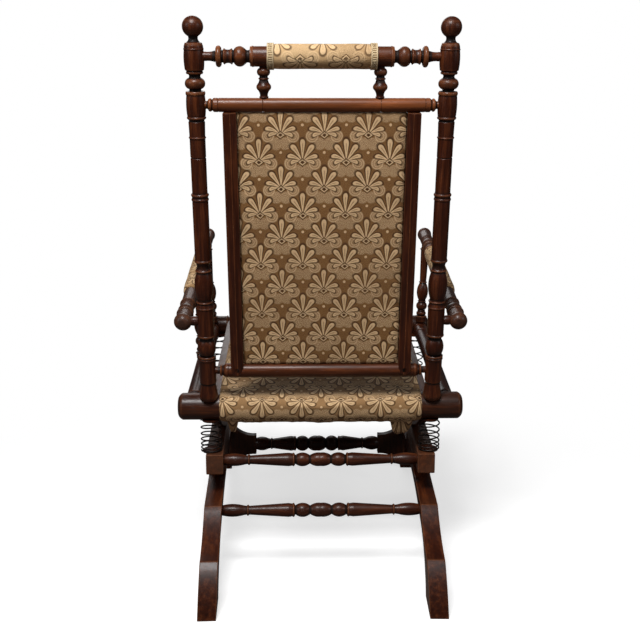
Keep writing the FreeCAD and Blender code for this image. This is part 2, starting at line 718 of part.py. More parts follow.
def spring(foot, head, turns, closed, name):
    """A coil of wire from its foot to its head, closer wound toward its foot."""
    lift = Z * (WIRE_RADIUS + SPRING_GAP)
    low, high = foot + lift, head - lift

    def point(u):
        angle = 2 * math.pi * turns * u
        rise = closed * u + (1 - closed) * u * u
        shift = rise * rise * (3 - 2 * rise)
        middle = low + Z * ((high - low).z * rise) + at((high - low).x, (high - low).y, 0) * shift
        return middle + at(math.cos(angle), math.sin(angle), 0) * SPRING_RADIUS

    def tangent(u):
        return (point(u + 1e-5) - point(u - 1e-5)).normalize()

    steps = 2 * turns
    edges = []
    for i in range(steps):
        a, b = i / steps, (i + 1) / steps
        edges += biarc(point(a), tangent(a), point(b), tangent(b))
    corners = [at(WIRE_RADIUS, 0, 0)]
    for i in range(WIRE_SIDES):
        angle = 2 * math.pi * (i + 1) / WIRE_SIDES
        corners.append(at(math.cos(angle), math.sin(angle), 0) * WIRE_RADIUS)
    section = toward(Part.makePolygon(corners), point(0), tangent(0))
    coil = Part.Wire(edges).makePipeShell([section], True, False)
    samples = 24 * turns
    gap = min((point((i + 24) / samples) - point(i / samples)).Length for i in range(samples - 23))
    print(name, "least gap between turns", round(gap - 2 * WIRE_RADIUS, 2))
    return coil


def spring_ends(front):
    """Foot and head of a spring's axis, on the wood that it stands between."""
    if front:
        return (at(FRONT_SPRING_FOOT_X, FRONT_SPRING_FOOT_Y, BASE_RAIL_TOP),
                at(FRONT_SPRING_HEAD_X, FRONT_SPRING_HEAD_Y, FRONT_RAIL_Z - FRONT_RAIL_RADIUS))
    return (at(REAR_SPRING_X, REAR_RAIL_Y, BASE_RAIL_TOP),
            at(REAR_SPRING_X, REAR_RAIL_Y, REAR_RAIL_Z - REAR_RAIL_RADIUS))


def spring_plug(point, direction):
    """A turned plug with a stud in the wood: the end of the coil is forced over it."""
    inner = SPRING_RADIUS - WIRE_RADIUS - PLUG_CLEARANCE
    plug = Turning(inner - 2).run(2, inner).to(PLUG_HEIGHT + PLUG_LET_IN)
    plug = plug.step(PLUG_STUD_RADIUS).run(TENON_DEPTH).solid()
    return toward(plug, point - direction * PLUG_HEIGHT, direction)


# Small fixings

def wood_screw(point, direction, length):
    head = Turning(SCREW_RADIUS * 2).run(SCREW_RADIUS, SCREW_RADIUS).run(length, SCREW_RADIUS).solid()
    return toward(head, point, direction)


def leg_screws():
    """Screws up through each leg into the base rail above it."""
    screws = []
    under = ARCH_HEIGHT - 2
    length = BASE_RAIL_TOP - BASE_RAIL_HEIGHT + SCREW_BITE - under
    for y in (-LEG_SCREW_Y, LEG_SCREW_Y):
        screw = wood_screw(at(BASE_X_REAR, y, under), Z, length)
        screws.append(splayed(screw))
    return screws


def stile_screw():
    point = at(PANEL_HALF - STILE_WIDTH / 2, BOTTOM_RAIL_RADIUS + 4, BOTTOM_RAIL_UP + 7)
    return leaned(wood_screw(point, Y * -1, SCREW_BITE + SCREW_RADIUS))


def both_sides(shapes):
    return Part.Compound(list(shapes) + [mirrored(s) for s in shapes])


def build():
    nodes = {}

    def pair(name, left):
        nodes[name + "_left"] = left
        nodes[name + "_right"] = mirrored(left)

    upper_z = BASE_RAIL_TOP - UPPER_STRETCHER_DROP
    lower_reach = inner_x(LOWER_STRETCHER_Y) + SHOULDER
    bracket_inner = inner_x(-LOWER_STRETCHER_Y) - BRACKET_REACH
    stretchers = {
        "stretcher_rear_upper": stretcher(UPPER_STRETCHER_Y, upper_z, STRETCHER_RADIUS,
                                          inner_x(UPPER_STRETCHER_Y) + SHOULDER),
        "stretcher_rear_lower": stretcher(LOWER_STRETCHER_Y, LOWER_STRETCHER_Z, STRETCHER_RADIUS,
                                          lower_reach),
        "stretcher_front_upper": stretcher(-UPPER_STRETCHER_Y, upper_z, STRETCHER_RADIUS,
                                           inner_x(-UPPER_STRETCHER_Y) + SHOULDER),
        "stretcher_front_lower": stretcher(-LOWER_STRETCHER_Y, LOWER_STRETCHER_Z - FRONT_STRETCHER_DROP,
                                           FRONT_STRETCHER_RADIUS, bracket_inner + SHOULDER),
    }
    nodes.update(stretchers)
    rear_upper, rear_lower, front_upper, front_lower = stretchers.values()

    rear_foot, rear_head = spring_ends(False)
    front_foot, front_head = spring_ends(True)
    foot_plugs = [spring_plug(rear_foot, Z * -1), spring_plug(front_foot, Z * -1)]
    head_plugs = [spring_plug(rear_head, Z), spring_plug(front_head, Z)]
    screws = leg_screws()

    pair("base_rail", housed(base_rail(), rear_upper, front_upper, *foot_plugs, *screws))
    front_leg = leg(True)
    pair("leg_rear", housed(leg(False), rear_lower, screws[1]))
    pair("leg_front", housed(front_leg, screws[0]))
    pair("stretcher_bracket", housed(bracket(), front_lower, front_leg))
    pair("spring_rear", spring(rear_foot, rear_head, REAR_TURNS, 0.5, "rear spring"))
    pair("spring_front", spring(front_foot, front_head, FRONT_TURNS, 0.8, "front spring"))
    nodes["spring_plugs_base"] = both_sides(foot_plugs)
    nodes["leg_screws"] = both_sides(screws)

    side = side_rail()
    spindles = {"arm_spindle_rear": arm_spindle(REAR_RAIL_Y - REAR_SPINDLE_REACH),
                "arm_spindle_front": arm_spindle(FRONT_RAIL_Y + FRONT_SPINDLE_INSET)}
    board = rocker()
    top, bottom, crest = top_rail(), bottom_rail(), crest_rail()
    short = crest_spindle()
    dowel = arm_dowel()
    tail_screw = stile_screw()
    rear_rail = rear_seat_rail()
    front_rail = front_seat_rail()
    post = housed(back_post(), rear_rail, bottom, top, crest, dowel)

    sides = [side, board, mirrored(side), mirrored(board)]
    heads = [head_plugs[0], mirrored(head_plugs[0])]
    nodes["seat_rail_rear"] = housed(rear_rail, *sides, *heads)
    nodes["seat_rail_front"] = housed(front_rail, *sides, head_plugs[1], mirrored(head_plugs[1]))
    pair("seat_rail_side", housed(side, *spindles.values()))
    pair("rocker", board)
    pair("back_post", post)
    pair("back_stile", housed(stile(), bottom, tail_screw))
    nodes["back_rail_bottom"] = housed(bottom, tail_screw, mirrored(tail_screw))
    nodes["back_rail_top"] = housed(top, short, mirrored(short))
    nodes["crest_rail"] = housed(crest, short, mirrored(short))
    pair("crest_spindle", short)
    nodes["head_roll"] = head_roll()
    nodes["head_roll_braid"] = head_roll_braid()
    nodes["back_pad"] = back_pad()
    nodes["back_cloth"] = back_cloth()
    for name, spindle in spindles.items():
        pair(name, spindle)
    pair("arm", housed(arm(), dowel, *spindles.values()))
    pair("arm_pad", housed(arm_pad(), spindles["arm_spindle_rear"]))
    nodes["arm_dowels"] = both_sides([dowel])
    nodes["seat_pad"] = housed(seat_pad(), rear_rail, front_rail)
    nodes["seat_webbing"] = seat_webbing()
    nodes["spring_plugs_chair"] = both_sides(head_plugs)
    nodes["stile_screws"] = both_sides([tail_screw])
    return nodes


os.makedirs("parts", exist_ok=True)
for name, shape in build().items():
    shape.exportStep("parts/" + name + ".step")
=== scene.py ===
import math

import bmesh
import bpy
import numpy as np
from mathutils import Matrix, Vector, noise


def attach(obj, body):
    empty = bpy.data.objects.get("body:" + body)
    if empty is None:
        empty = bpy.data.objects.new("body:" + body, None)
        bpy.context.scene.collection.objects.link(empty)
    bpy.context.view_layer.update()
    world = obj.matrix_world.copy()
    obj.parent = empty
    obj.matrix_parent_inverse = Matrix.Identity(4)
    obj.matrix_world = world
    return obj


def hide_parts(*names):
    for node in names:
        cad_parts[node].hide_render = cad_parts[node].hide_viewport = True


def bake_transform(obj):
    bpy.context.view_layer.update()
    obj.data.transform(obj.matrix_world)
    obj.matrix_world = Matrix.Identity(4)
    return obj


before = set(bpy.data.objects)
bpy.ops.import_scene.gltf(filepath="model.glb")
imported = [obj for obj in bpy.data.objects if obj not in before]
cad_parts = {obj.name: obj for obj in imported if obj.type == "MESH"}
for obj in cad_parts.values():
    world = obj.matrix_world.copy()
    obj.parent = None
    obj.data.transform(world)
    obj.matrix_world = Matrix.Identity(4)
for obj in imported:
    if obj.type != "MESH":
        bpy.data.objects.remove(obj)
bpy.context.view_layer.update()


# The view: from behind the chair, a little above the arms, looking slightly down.
# It is taken from an ordinary distance in a room, square to the back.

def stood(name, data):
    """Stands a thing in the scene."""
    thing = bpy.data.objects.new(name, data)
    bpy.context.collection.objects.link(thing)
    return thing


lens = bpy.data.cameras.new("camera")
lens.lens = 50.6
lens.shift_x = 0.0022
camera = stood("camera", lens)
camera.location = (0.038, 1.965, 0.861)
camera.rotation_euler = (math.radians(79.0), 0, math.radians(178.9))
bpy.context.scene.camera = camera
bpy.context.scene.view_settings.view_transform = "Standard"


# The back posts: tall turned posts with a ball finial, let down onto the rear seat rail and leaning 10 degrees.
# All turned pieces are walnut, stained and waxed: dark wax lies in their hollows, and their crests are rubbed.

class Term:
    """A value that changes over a surface or along a shape. Sums are done with it as with a number."""

    def __init__(self, nodes, socket):
        self.nodes = nodes
        self.socket = socket

    def __add__(self, other):
        return self.nodes.maths("ADD", self, other)

    __radd__ = __add__

    def __sub__(self, other):
        return self.nodes.maths("SUBTRACT", self, other)

    def __rsub__(self, other):
        return self.nodes.maths("SUBTRACT", other, self)

    def __mul__(self, other):
        return self.nodes.maths("MULTIPLY", self, other)

    __rmul__ = __mul__

    def __truediv__(self, other):
        return self.nodes.maths("DIVIDE", self, other)

    def __pow__(self, other):
        return self.nodes.maths("POWER", self, other)

    def __abs__(self):
        return self.nodes.maths("ABSOLUTE", self)

    def __and__(self, other):
        return self.nodes.maths("MINIMUM", self, other)

    def __or__(self, other):
        return self.nodes.maths("MAXIMUM", self, other)

    def over(self, low, high):
        """0 below low, 1 above high and smooth between them."""
        return self.nodes.node("ShaderNodeMapRange", {0: self, 1: low, 2: high}, interpolation_type="SMOOTHSTEP")


class Nodes:
    """The steps that work out one finish or one shape. Every step is added in the same way."""

    def __init__(self, tree):
        self.tree = tree

    def node(self, kind, inputs=None, output=0, stops=None, **settings):
        node = self.tree.nodes.new(kind)
        for name, value in settings.items():
            setattr(node, name, value)
        for i, (place, colour) in enumerate(stops or []):
            ramp = node.color_ramp.elements
            stop = ramp[i] if i < len(ramp) else ramp.new(place)
            stop.position, stop.color = place, colour
        for name, value in (inputs or {}).items():
            self.feed(node.inputs[name], value)
        return Term(self, node.outputs[output])

    def feed(self, socket, value):
        if isinstance(value, Term):
            self.tree.links.new(value.socket, socket)
        else:
            socket.default_value = value

    def maths(self, operation, *values):
        return self.node("ShaderNodeMath", dict(enumerate(values)), operation=operation)

    def parts(self, place):
        """The three parts of a place."""
        split = self.node("ShaderNodeSeparateXYZ", {0: place}).socket.node
        return [Term(self, socket) for socket in split.outputs]

    def whole(self, x=0.0, y=0.0, z=0.0):
        """A place from its three parts."""
        return self.node("ShaderNodeCombineXYZ", {0: x, 1: y, 2: z})


class Finish(Nodes):
    """One surface finish."""

    def __init__(self, name):
        self.material = bpy.data.materials.new(name)
        self.material.use_nodes = True
        super().__init__(self.material.node_tree)
        self.shader = self.tree.nodes["Principled BSDF"]

    def place(self):
        return self.node("ShaderNodeTexCoord", output=3)

    def uv(self):
        return self.node("ShaderNodeTexCoord", output=2)

    def attribute(self, name):
        return self.node("ShaderNodeAttribute", output=2, attribute_name=name)

    def stretched(self, place, scale, turn=(0, 0, 0)):
        return self.node("ShaderNodeMapping", {"Vector": place, "Scale": scale, "Rotation": turn})

    def clouds(self, place, scale, detail=4.0, roughness=0.55):
        return self.node("ShaderNodeTexNoise", {"Vector": place, "Scale": scale, "Detail": detail,
                                                "Roughness": roughness})

    def mix(self, share, first, second, blend="MIX"):
        return self.node("ShaderNodeMix", {0: share, 6: first, 7: second}, output=2, data_type="RGBA",
                         blend_type=blend)

    def bump(self, height, depth, strength=1.0):
        return self.node("ShaderNodeBump", {"Height": height, "Distance": depth, "Strength": strength})

    def surface(self, **values):
        for name, value in values.items():
            self.feed(self.shader.inputs[name.replace("_", " ")], value)
        return self.material


def tint(red, green, blue):
    """A colour as it is seen, for a shader."""
    return [(v / 255 / 12.92 if v <= 10 else ((v / 255 + 0.055) / 1.055) ** 2.4) for v in (red, green, blue)] + [1]


def walnut(name, along, stain_and_painted_shade=0.0, dust=0.0, lightened=0.0):
    """Old stained walnut, grain along one direction: darkened as stain and as painted shade, greyed by dust, paled as
    rubbed wood and as painted light.
    """
    wood = Finish(name)
    turn = Vector(along).rotation_difference(Vector((0, 0, 1))).to_euler()
    grain = wood.stretched(wood.place(), (1, 1, 1), turn)
    figure = wood.clouds(wood.stretched(grain, (1, 1, 0.08)), 90.0, 6.0, 0.65)
    fibres = wood.clouds(wood.stretched(grain, (1, 1, 0.03)), 520.0, 4.0, 0.7)
    pores = wood.clouds(wood.stretched(grain, (1, 1, 0.05)), 1100.0, 2.0).over(0.6, 0.72)
    blotches = wood.clouds(wood.place(), 13.0, 5.0).over(0.35, 0.7)
    scuffs = wood.clouds(wood.place(), 130.0, 6.0, 0.8).over(0.56, 0.66)
    hollow = wood.attribute("hollow")
    colour = wood.node("ShaderNodeValToRGB", {"Fac": figure * 0.7 + fibres * 0.3}, stops=[
        (0.34, tint(31, 10, 4)), (0.5, tint(66, 27, 11)), (0.66, tint(112, 58, 28))])
    colour = wood.mix(blotches * 0.5, colour, tint(48, 16, 6))
    # Paling toward bare wood: partly rubbed wood, partly painted light on rails that lie in the light.
    colour = wood.mix((0.4 + figure * 0.6) * lightened, colour, tint(168, 98, 52))
    colour = wood.mix((0 - hollow).over(0.15, 0.9) * (0.3 + scuffs * 0.6), colour, tint(160, 98, 58))
    colour = wood.mix(hollow.over(0.05, 0.6) * 0.9, colour, tint(14, 6, 4))
    colour = wood.mix(pores * 0.5, colour, tint(16, 7, 4))
    # Darkening toward near black: partly the piece's darker stain, partly painted shade for pieces lying in shadow
    # under the seat.
    colour = wood.mix(stain_and_painted_shade, colour, tint(12, 4, 2))
    colour = wood.mix(dust * (0.4 + blotches * 0.6), colour, tint(92, 70, 56))
    rough = 0.27 + figure * 0.14 + hollow.over(0.0, 0.8) * 0.25 + scuffs * 0.16 + blotches * 0.06
    relief = figure * 0.35 + fibres * 0.25 - pores * 0.5 - scuffs * 0.25
    return wood.surface(Base_Color=colour, Roughness=rough, Normal=wood.bump(relief, 0.0004, 0.55),
                        Specular_IOR_Level=0.22, Coat_Weight=0.08, Coat_Roughness=0.12)


def at(x, y, z):
    """A place given in millimetres."""
    return Vector((x, y, z)) / 1000


def arc(a, b, c, steps=12):
    """Points on the arc from a through b to c, after a itself."""
    (ax, ay), (bx, by), (cx, cy) = a, b, c
    d = 2 * (ax * (by - cy) + bx * (cy - ay) + cx * (ay - by))
    if abs(d) < 1e-6:
        return [(ax + (cx - ax) * i / steps, ay + (cy - ay) * i / steps) for i in range(1, steps + 1)]
    aa, bb, cc = ax * ax + ay * ay, bx * bx + by * by, cx * cx + cy * cy
    ux = (aa * (by - cy) + bb * (cy - ay) + cc * (ay - by)) / d
    uy = (aa * (cx - bx) + bb * (ax - cx) + cc * (bx - ax)) / d
    radius = math.hypot(ax - ux, ay - uy)
    start, middle, end = (math.atan2(y - uy, x - ux) for x, y in (a, b, c))
    whole = 2 * math.pi
    sweep = (end - start) % whole
    if (middle - start) % whole > sweep:
        sweep -= whole
    angles = [start + sweep * i / steps for i in range(1, steps + 1)]
    return [(ux + radius * math.cos(t), uy + radius * math.sin(t)) for t in angles]


class Turning:
    """The outline of a turned piece: places along its axis, and the radius at each."""

    STEP = 0.03

    def __init__(self, radius):
        self.rows = [(0.0, radius)]

    @property
    def length(self):
        return self.rows[-1][0]

    @property
    def radius(self):
        return self.rows[-1][1]

    def run(self, length, radius=None):
        end = self.radius if radius is None else radius
        self.rows.append((self.length + max(length, self.STEP), end))
        return self

    def to(self, place, radius=None):
        return self.run(place - self.length, radius)

    def step(self, radius):
        return self.run(self.STEP, radius)

    def curve(self, length, middle, radius=None):
        """A bead, a cove or a swelling, through the radius at its middle."""
        end = self.radius if radius is None else radius
        first, place = self.rows[-1], self.length
        self.rows += arc(first, (place + length / 2, middle), (place + length, end))
        return self

    def ring(self, height, width=4.0):
        """A thin half-round ring, or a scored line where the height is below zero."""
        place, radius = self.rows[-1]
        for i in range(1, 9):
            t = i / 8
            self.rows.append((place + width * t, radius + height * math.sin(math.pi * t) ** 0.7))
        return self

    def both_ways(self):
        self.rows = [(-place, radius) for place, radius in self.rows[:0:-1]] + self.rows
        return self

    def line(self):
        """Even rows along the piece, each with how hollow it lies between its neighbours, from -1 to 1."""
        rows = [self.rows[0]]
        for (p, r), (q, s) in zip(self.rows, self.rows[1:]):
            gap = q - p
            cuts = [] if gap < 3 else [1.0] + list(np.arange(5.0, gap - 3, 9.0)) + [gap - 1.0]
            rows += [(p + c, r + (s - r) * c / gap) for c in cuts] + [(q, s)]
        places, radii = np.array(rows).T
        fine = np.arange(places[0] - 8, places[-1] + 8, 0.4)
        around = np.convolve(np.interp(fine, places, radii), np.ones(35) / 35, "same")
        hollow = np.clip((np.interp(places, fine, around) - radii) / 2.0, -1, 1)
        hollow[(places < places[0] + 6) | (places > places[-1] - 6)] *= 0.3
        return places, radii, hollow


class Recipe(Nodes):
    """A shape that follows a rule, with named sizes."""

    KINDS = {int: "NodeSocketInt", float: "NodeSocketFloat", Vector: "NodeSocketVector"}

    def __init__(self, name, **sizes):
        super().__init__(bpy.data.node_groups.new(name, "GeometryNodeTree"))
        face = self.tree.interface
        face.new_socket("Geometry", in_out="INPUT", socket_type="NodeSocketGeometry")
        face.new_socket("Geometry", in_out="OUTPUT", socket_type="NodeSocketGeometry")
        face.new_socket("Finish", in_out="INPUT", socket_type="NodeSocketMaterial")
        for size, value in sizes.items():
            face.new_socket(size, in_out="INPUT", socket_type=self.KINDS[type(value)]).default_value = value
        self.entry = self.tree.nodes.new("NodeGroupInput")

    def size(self, name):
        return Term(self, self.entry.outputs[name])

    def give(self, shape):
        whole = self.node("GeometryNodeRealizeInstances", {0: shape})
        finished = self.node("GeometryNodeSetMaterial", {"Geometry": whole, "Material": self.size("Finish")})
        self.tree.links.new(finished.socket, self.tree.nodes.new("NodeGroupOutput").inputs[0])

    def make(self, name, mesh, **values):
        """A plain mesh made by the recipe."""
        piece = stood(name, mesh)
        modifier = piece.modifiers.new("recipe", "NODES")
        modifier.node_group = self.tree
        for item in self.tree.interface.items_tree:
            if item.in_out == "INPUT" and item.name in values:
                modifier[item.identifier] = values[item.name]
        graph = bpy.context.evaluated_depsgraph_get()
        made = bpy.data.meshes.new_from_object(piece.evaluated_get(graph), preserve_all_data_layers=True,
                                               depsgraph=graph)
        piece.modifiers.clear()
        piece.data = made
        return piece


def settled(piece, crease=38.0):
    """Closes the seams of a shell, turns it outwards and keeps only its real edges crisp."""
    shell = bmesh.new()
    shell.from_mesh(piece.data)
    bmesh.ops.remove_doubles(shell, verts=shell.verts, dist=1e-6)
    bmesh.ops.recalc_face_normals(shell, faces=shell.faces)
    for face in shell.faces:
        face.smooth = True
    for edge in shell.edges:
        edge.smooth = len(edge.link_faces) == 2 and edge.calc_face_angle(0.0) < math.radians(crease)
    shell.to_mesh(piece.data)
    shell.free()
    return piece


def seated(piece, body, slot, *nodes):
    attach(piece, body)
    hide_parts(*nodes)
    return piece


lathe = Recipe("lathe", Sides=44)
cut = lathe.node("GeometryNodeMeshToCurve", {0: lathe.size("Geometry")})
wheel = lathe.node("GeometryNodeCurvePrimitiveCircle", {"Resolution": lathe.size("Sides"), "Radius": 1.0})
cut_radius = lathe.node("GeometryNodeInputNamedAttribute", {"Name": "radius"}, data_type="FLOAT")
lathe.give(lathe.node("GeometryNodeCurveToMesh", {"Curve": cut, "Profile Curve": wheel, "Scale": cut_radius,
                                                  "Fill Caps": True}))


def lathed(name, outline, start, direction, wood, sides=44):
    """Turns an outline on the lathe and stands it on its start."""
    places, radii, hollow = outline.line()
    way = Vector(direction).normalized()
    axis = bpy.data.meshes.new(name)
    axis.from_pydata([start + way * (p / 1000) for p in places], [(i, i + 1) for i in range(len(places) - 1)], [])
    for key, values in (("radius", radii / 1000), ("hollow", hollow)):
        axis.attributes.new(key, "FLOAT", "POINT").data.foreach_set("value", values.astype(np.float32))
    return settled(lathe.make(name, axis, Finish=wood, Sides=sides))


def turned(name, outline, start, direction, wood, body="chair", sides=44):
    """A turned piece in place of the plain one of its name."""
    return seated(lathed(name, outline, start, direction, wood, sides), body, "dark_wood", name)


LEAN = math.radians(10.0)
POST_Y, RAIL_Z = 199.0, 336.0
POST_X, POST_RADIUS, POST_FOOT = 226.0, 15.0, 16.0
UP = Vector((0, math.sin(LEAN), math.cos(LEAN)))
BEHIND = Vector((0, math.cos(LEAN), -math.sin(LEAN)))
ACROSS = Vector((1, 0, 0))
SIDES = ((1, "left"), (-1, "right"))


def on_back(x, behind, up):
    """A point of the leaning back, from the height of the rear seat rail."""
    return at(x, POST_Y + behind * math.cos(LEAN) + up * math.sin(LEAN),
              RAIL_Z + up * math.cos(LEAN) - behind * math.sin(LEAN))


def post_outline():
    r, foot = POST_RADIUS, POST_FOOT
    post = Turning(r - 7).curve(14, r + 1.5, r + 3.4).to(58 - foot, r - 0.5).run(2, r + 1.5).to(107 - foot)
    post.ring(1.2, 5).ring(1.2, 5).step(r - 2).curve(34, r + 3, r - 2).run(4).run(2, r + 1)
    post.ring(1.4, 5).step(r + 1.5).to(216 - foot)
    post.ring(1.0).run(8, r - 0.5).ring(2.0).run(3, r - 1)
    post.curve(56, r + 3.4, r - 1.5).ring(2.0, 5).curve(14, r - 3, r - 0.5).ring(1.8, 6)
    post.step(r).to(430 - foot).ring(1.2, 5).run(3).ring(1.6, 6).step(r - 0.7)
    post.to(509 - foot).ring(-0.8, 3).to(545 - foot).ring(1.4).run(26, r).curve(5, r - 1, r + 1).ring(1.4, 5)
    post.run(1, r + 1.5).curve(623 - foot - post.length - 1, r + 2.6, r + 1.5).ring(1.2, 7).step(r - 3.5)
    post.curve(4, r - 4.5, r - 3.5).curve(19, r + 3.2, r - 3.5).curve(7, r - 5, r - 1).ring(1.2, 5)
    post.run(2, r + 1.8).curve(700 - foot - post.length, r + 3.2, r + 2.2).ring(0.8, 3).run(4, r + 1.8)
    post.run(5, r).curve(11, r - 6.5, r - 6)
    return post.curve(757 - foot - post.length, 1.24 * r, r - 12)


post_wood = walnut("walnut_posts", UP, 0.24)
for side, name in SIDES:
    turned("back_post_" + name, post_outline(), on_back(side * POST_X, 0, POST_FOOT), UP, post_wood)


# The rails between the posts: the bottom rail, the top rail and the crest rail, each turned and tenoned into them.
# The crest rail carries the head roll, on two short spindles with a vase and a bead.

BOTTOM_UP, TOP_UP, CREST_UP = 84.0, 605.0, 689.0
TOP_RADIUS, CREST_SPINDLE_X, TENON = 12.5, 104.0, 2.0
# The top rail is paled partly as painted light; the bottom and crest rails are paled a little and darkened as stain
# and painted shade.
rail_wood = walnut("walnut_rails", ACROSS, lightened=0.35)
low_wood = walnut("walnut_low_rail", ACROSS, 0.16, lightened=0.1)
reach = POST_X - POST_RADIUS + TENON

bottom = Turning(14.5).to(reach - 30).ring(-0.8, 2).run(4).curve(8, 11.5, 9.5).ring(2.0).step(7).to(reach)
turned("back_rail_bottom", bottom.both_ways(), on_back(0, 0, BOTTOM_UP), ACROSS, low_wood)

top = Turning(TOP_RADIUS).to(105).ring(-0.8, 2).run(78).ring(-0.8, 2).to(reach - 19).run(3, 9.5).ring(2.2, 7)
turned("back_rail_top", top.curve(4, 7, 7).to(reach).both_ways(), on_back(0, 0, TOP_UP), ACROSS, rail_wood)

crest = Turning(17.5).to(121).ring(0.8, 3).run(3, 17).step(12.5).curve(8, 10.5, 12.5).run(2, 14)
crest.curve(18, 17.6, 12.5).curve(3, 10.8, 12.6).ring(1.2, 3).curve(10, 11.4, 12.6).ring(1.2, 3)
crest.curve(4, 10.5, 12).curve(9, 18.6, 12)
crest.run(2, 10).curve(reach - crest.length - 8, 8, 8).to(reach)
turned("crest_rail", crest.both_ways(), on_back(0, 0, CREST_UP), ACROSS, low_wood)

for side, name in SIDES:
    short = Turning(7).run(2).ring(1.4, 3).curve(12, 7.8, 12).curve(8, 13.2, 12).curve(9, 9, 7.8)
    short.ring(1.8, 3).run(3, 7.2).curve(14, 11.8, 7.4).to(58)
    start = on_back(side * CREST_SPINDLE_X, 0, TOP_UP + TOP_RADIUS - TENON)
    turned("crest_spindle_" + name, short, start, UP, post_wood, sides=32)


# The seat frame: a thick plain rear rail, a front rail turned at its ends, and a turned rail on each side.
# They are walnut, tenoned into each other; the cloth is tacked round the front and rear rails.

REAR_Y, FRONT_Y, SEAT_RISE = 185.0, -295.0, 74.0
SEAT_RUN, FRONT_Z = REAR_Y - FRONT_Y, RAIL_Z + SEAT_RISE
REAR_RADIUS, FRONT_RADIUS, SIDE_X = 27.5, 22.5, 262.0
BETWEEN_RAILS = math.hypot(SEAT_RUN, SEAT_RISE) - REAR_RADIUS - FRONT_RADIUS
FORWARD = Vector((0, -SEAT_RUN, SEAT_RISE)).normalized()
# The seat rails are darkened most, partly as painted shade under the seat.
seat_wood = walnut("walnut_seat_rails", ACROSS, 0.5, 0.12)
side_wood = walnut("walnut_side_rails", FORWARD, 0.3)


def seat_line(y, up):
    """A place along the chair, with the height of the side rails' axes there and up from it."""
    return y, RAIL_Z + (REAR_Y - y) * SEAT_RISE / SEAT_RUN + up


rear = Turning(REAR_RADIUS).to(281).curve(9, 24.9, 18.5)
turned("seat_rail_rear", rear.both_ways(), at(0, REAR_Y, RAIL_Z), ACROSS, seat_wood, sides=64)

front = Turning(19.5).to(210).step(17.5).curve(12, 14.5, 17.5).run(3, FRONT_RADIUS).ring(1.5)
front.to(276).curve(8, 20.5, 14.5)
turned("seat_rail_front", front.both_ways(), at(0, FRONT_Y, FRONT_Z), ACROSS, seat_wood, sides=56)

for side, name in SIDES:
    length = BETWEEN_RAILS + 2 * TENON
    rail = Turning(13).curve(14, 16, 13).run(3, 17).to(length - 60)
    rail.ring(1.5).run(26).run(3, 13).curve(18, 17, 12).to(length)
    start = at(side * SIDE_X, REAR_Y, RAIL_Z) + FORWARD * ((REAR_RADIUS - TENON) / 1000)
    turned("seat_rail_side_" + name, rail, start, FORWARD, side_wood)


# The arms: a knobbed turned arm on each side, on two spindles, held to the post by a short dowel.
# The rear end of each arm stands out behind the post and is worn grey by hands and dust.

ARM_SLOPE, ARM_UP, ARM_BACK = math.radians(13.0), 190.0, 18.0
ARM_WAY = Vector((0, -math.cos(ARM_SLOPE), math.sin(ARM_SLOPE)))
ARM_X, ARM_RADIUS, ARM_LENGTH, PAD_START, PAD_LENGTH = 270.0, 15.0, 560.0, 163.0, 250.0
SPINDLE_RADIUS, SPINDLE_HEAD, SPINDLE_FOOT = 13.0, 13.0, 15.0
REAR_SPINDLE_REACH, FRONT_SPINDLE_INSET = 208.0, 36.0
arm_wood = walnut("walnut_arms", ARM_WAY, 0.3, 0.35)
spindle_wood = walnut("walnut_spindles", (0, 0, 1), 0.28)
dowel_wood = walnut("walnut_dowels", ACROSS, 0.3)


def arm_start(side):
    return on_back(side * ARM_X, 0, ARM_UP) - ARM_WAY * (ARM_BACK / 1000)


def arm_outline():
    r = ARM_RADIUS
    arm = Turning(r - 7).curve(26, r + 2.5, r - 2).run(2, r).run(20).ring(2.0)
    arm.run(2, r - 3).curve(24, r + 1, r - 3).ring(2.5, 5).run(14, r - 1).ring(2.0)
    arm.to(PAD_START - 2).step(r - 3).run(PAD_LENGTH + 4).step(r)
    arm.ring(2.0).curve(24, r - 3, r - 1).ring(2.5, 5).run(2, r - 3).curve(26, r + 1.5, r - 3)
    return arm.ring(2.5, 5).run(16, r).to(ARM_LENGTH - 24, r).curve(24, r + 1.5, r - 9)


def spindle_outline(length):
    r = SPINDLE_RADIUS
    spindle = Turning(r - 4).run(6, r).run(10).ring(1.5).step(r - 5).curve(12, r - 1, r - 5)
    spindle.ring(2.0, 3).curve(20, r + 0.5, r - 5).ring(2.5).curve(44, r + 1, r - 5).ring(2.0)
    return spindle.run(length - spindle.length - 18, r - 3).ring(2.0).curve(14, r - 5, r - 2)


for side, name in SIDES:
    turned("arm_" + name, arm_outline(), arm_start(side), ARM_WAY, arm_wood)
    for label, y in (("rear", REAR_Y - REAR_SPINDLE_REACH), ("front", FRONT_Y + FRONT_SPINDLE_INSET)):
        along = (arm_start(side).y - y / 1000) / math.cos(ARM_SLOPE)
        head = arm_start(side) + ARM_WAY * along - at(0, 0, SPINDLE_HEAD)
        foot = at(side * SIDE_X, *seat_line(head.y * 1000, SPINDLE_FOOT))
        turned("arm_spindle_" + label + "_" + name, spindle_outline((head - foot).length * 1000), foot,
               head - foot, spindle_wood, sides=36)


def joined(name, pieces):
    """Several pieces of one finish as one."""
    for other in pieces[1:]:
        other.data.transform(other.matrix_world)
    bpy.ops.object.select_all(action="DESELECT")
    for piece in pieces:
        piece.select_set(True)
    bpy.context.view_layer.objects.active = pieces[0]
    bpy.ops.object.join()
    pieces[0].name = name
    return pieces[0]


into_post = POST_X + POST_RADIUS - TENON
dowel_length = ARM_X - ARM_RADIUS + TENON - into_post
dowels = [lathed("dowel", Turning(8).curve(dowel_length, 9.5), on_back(side * into_post, 0, ARM_UP), (side, 0, 0),
                 dowel_wood, sides=28) for side in (1, -1)]
seated(joined("arm_dowels_turned", dowels), "chair", "dark_wood", "arm_dowels")


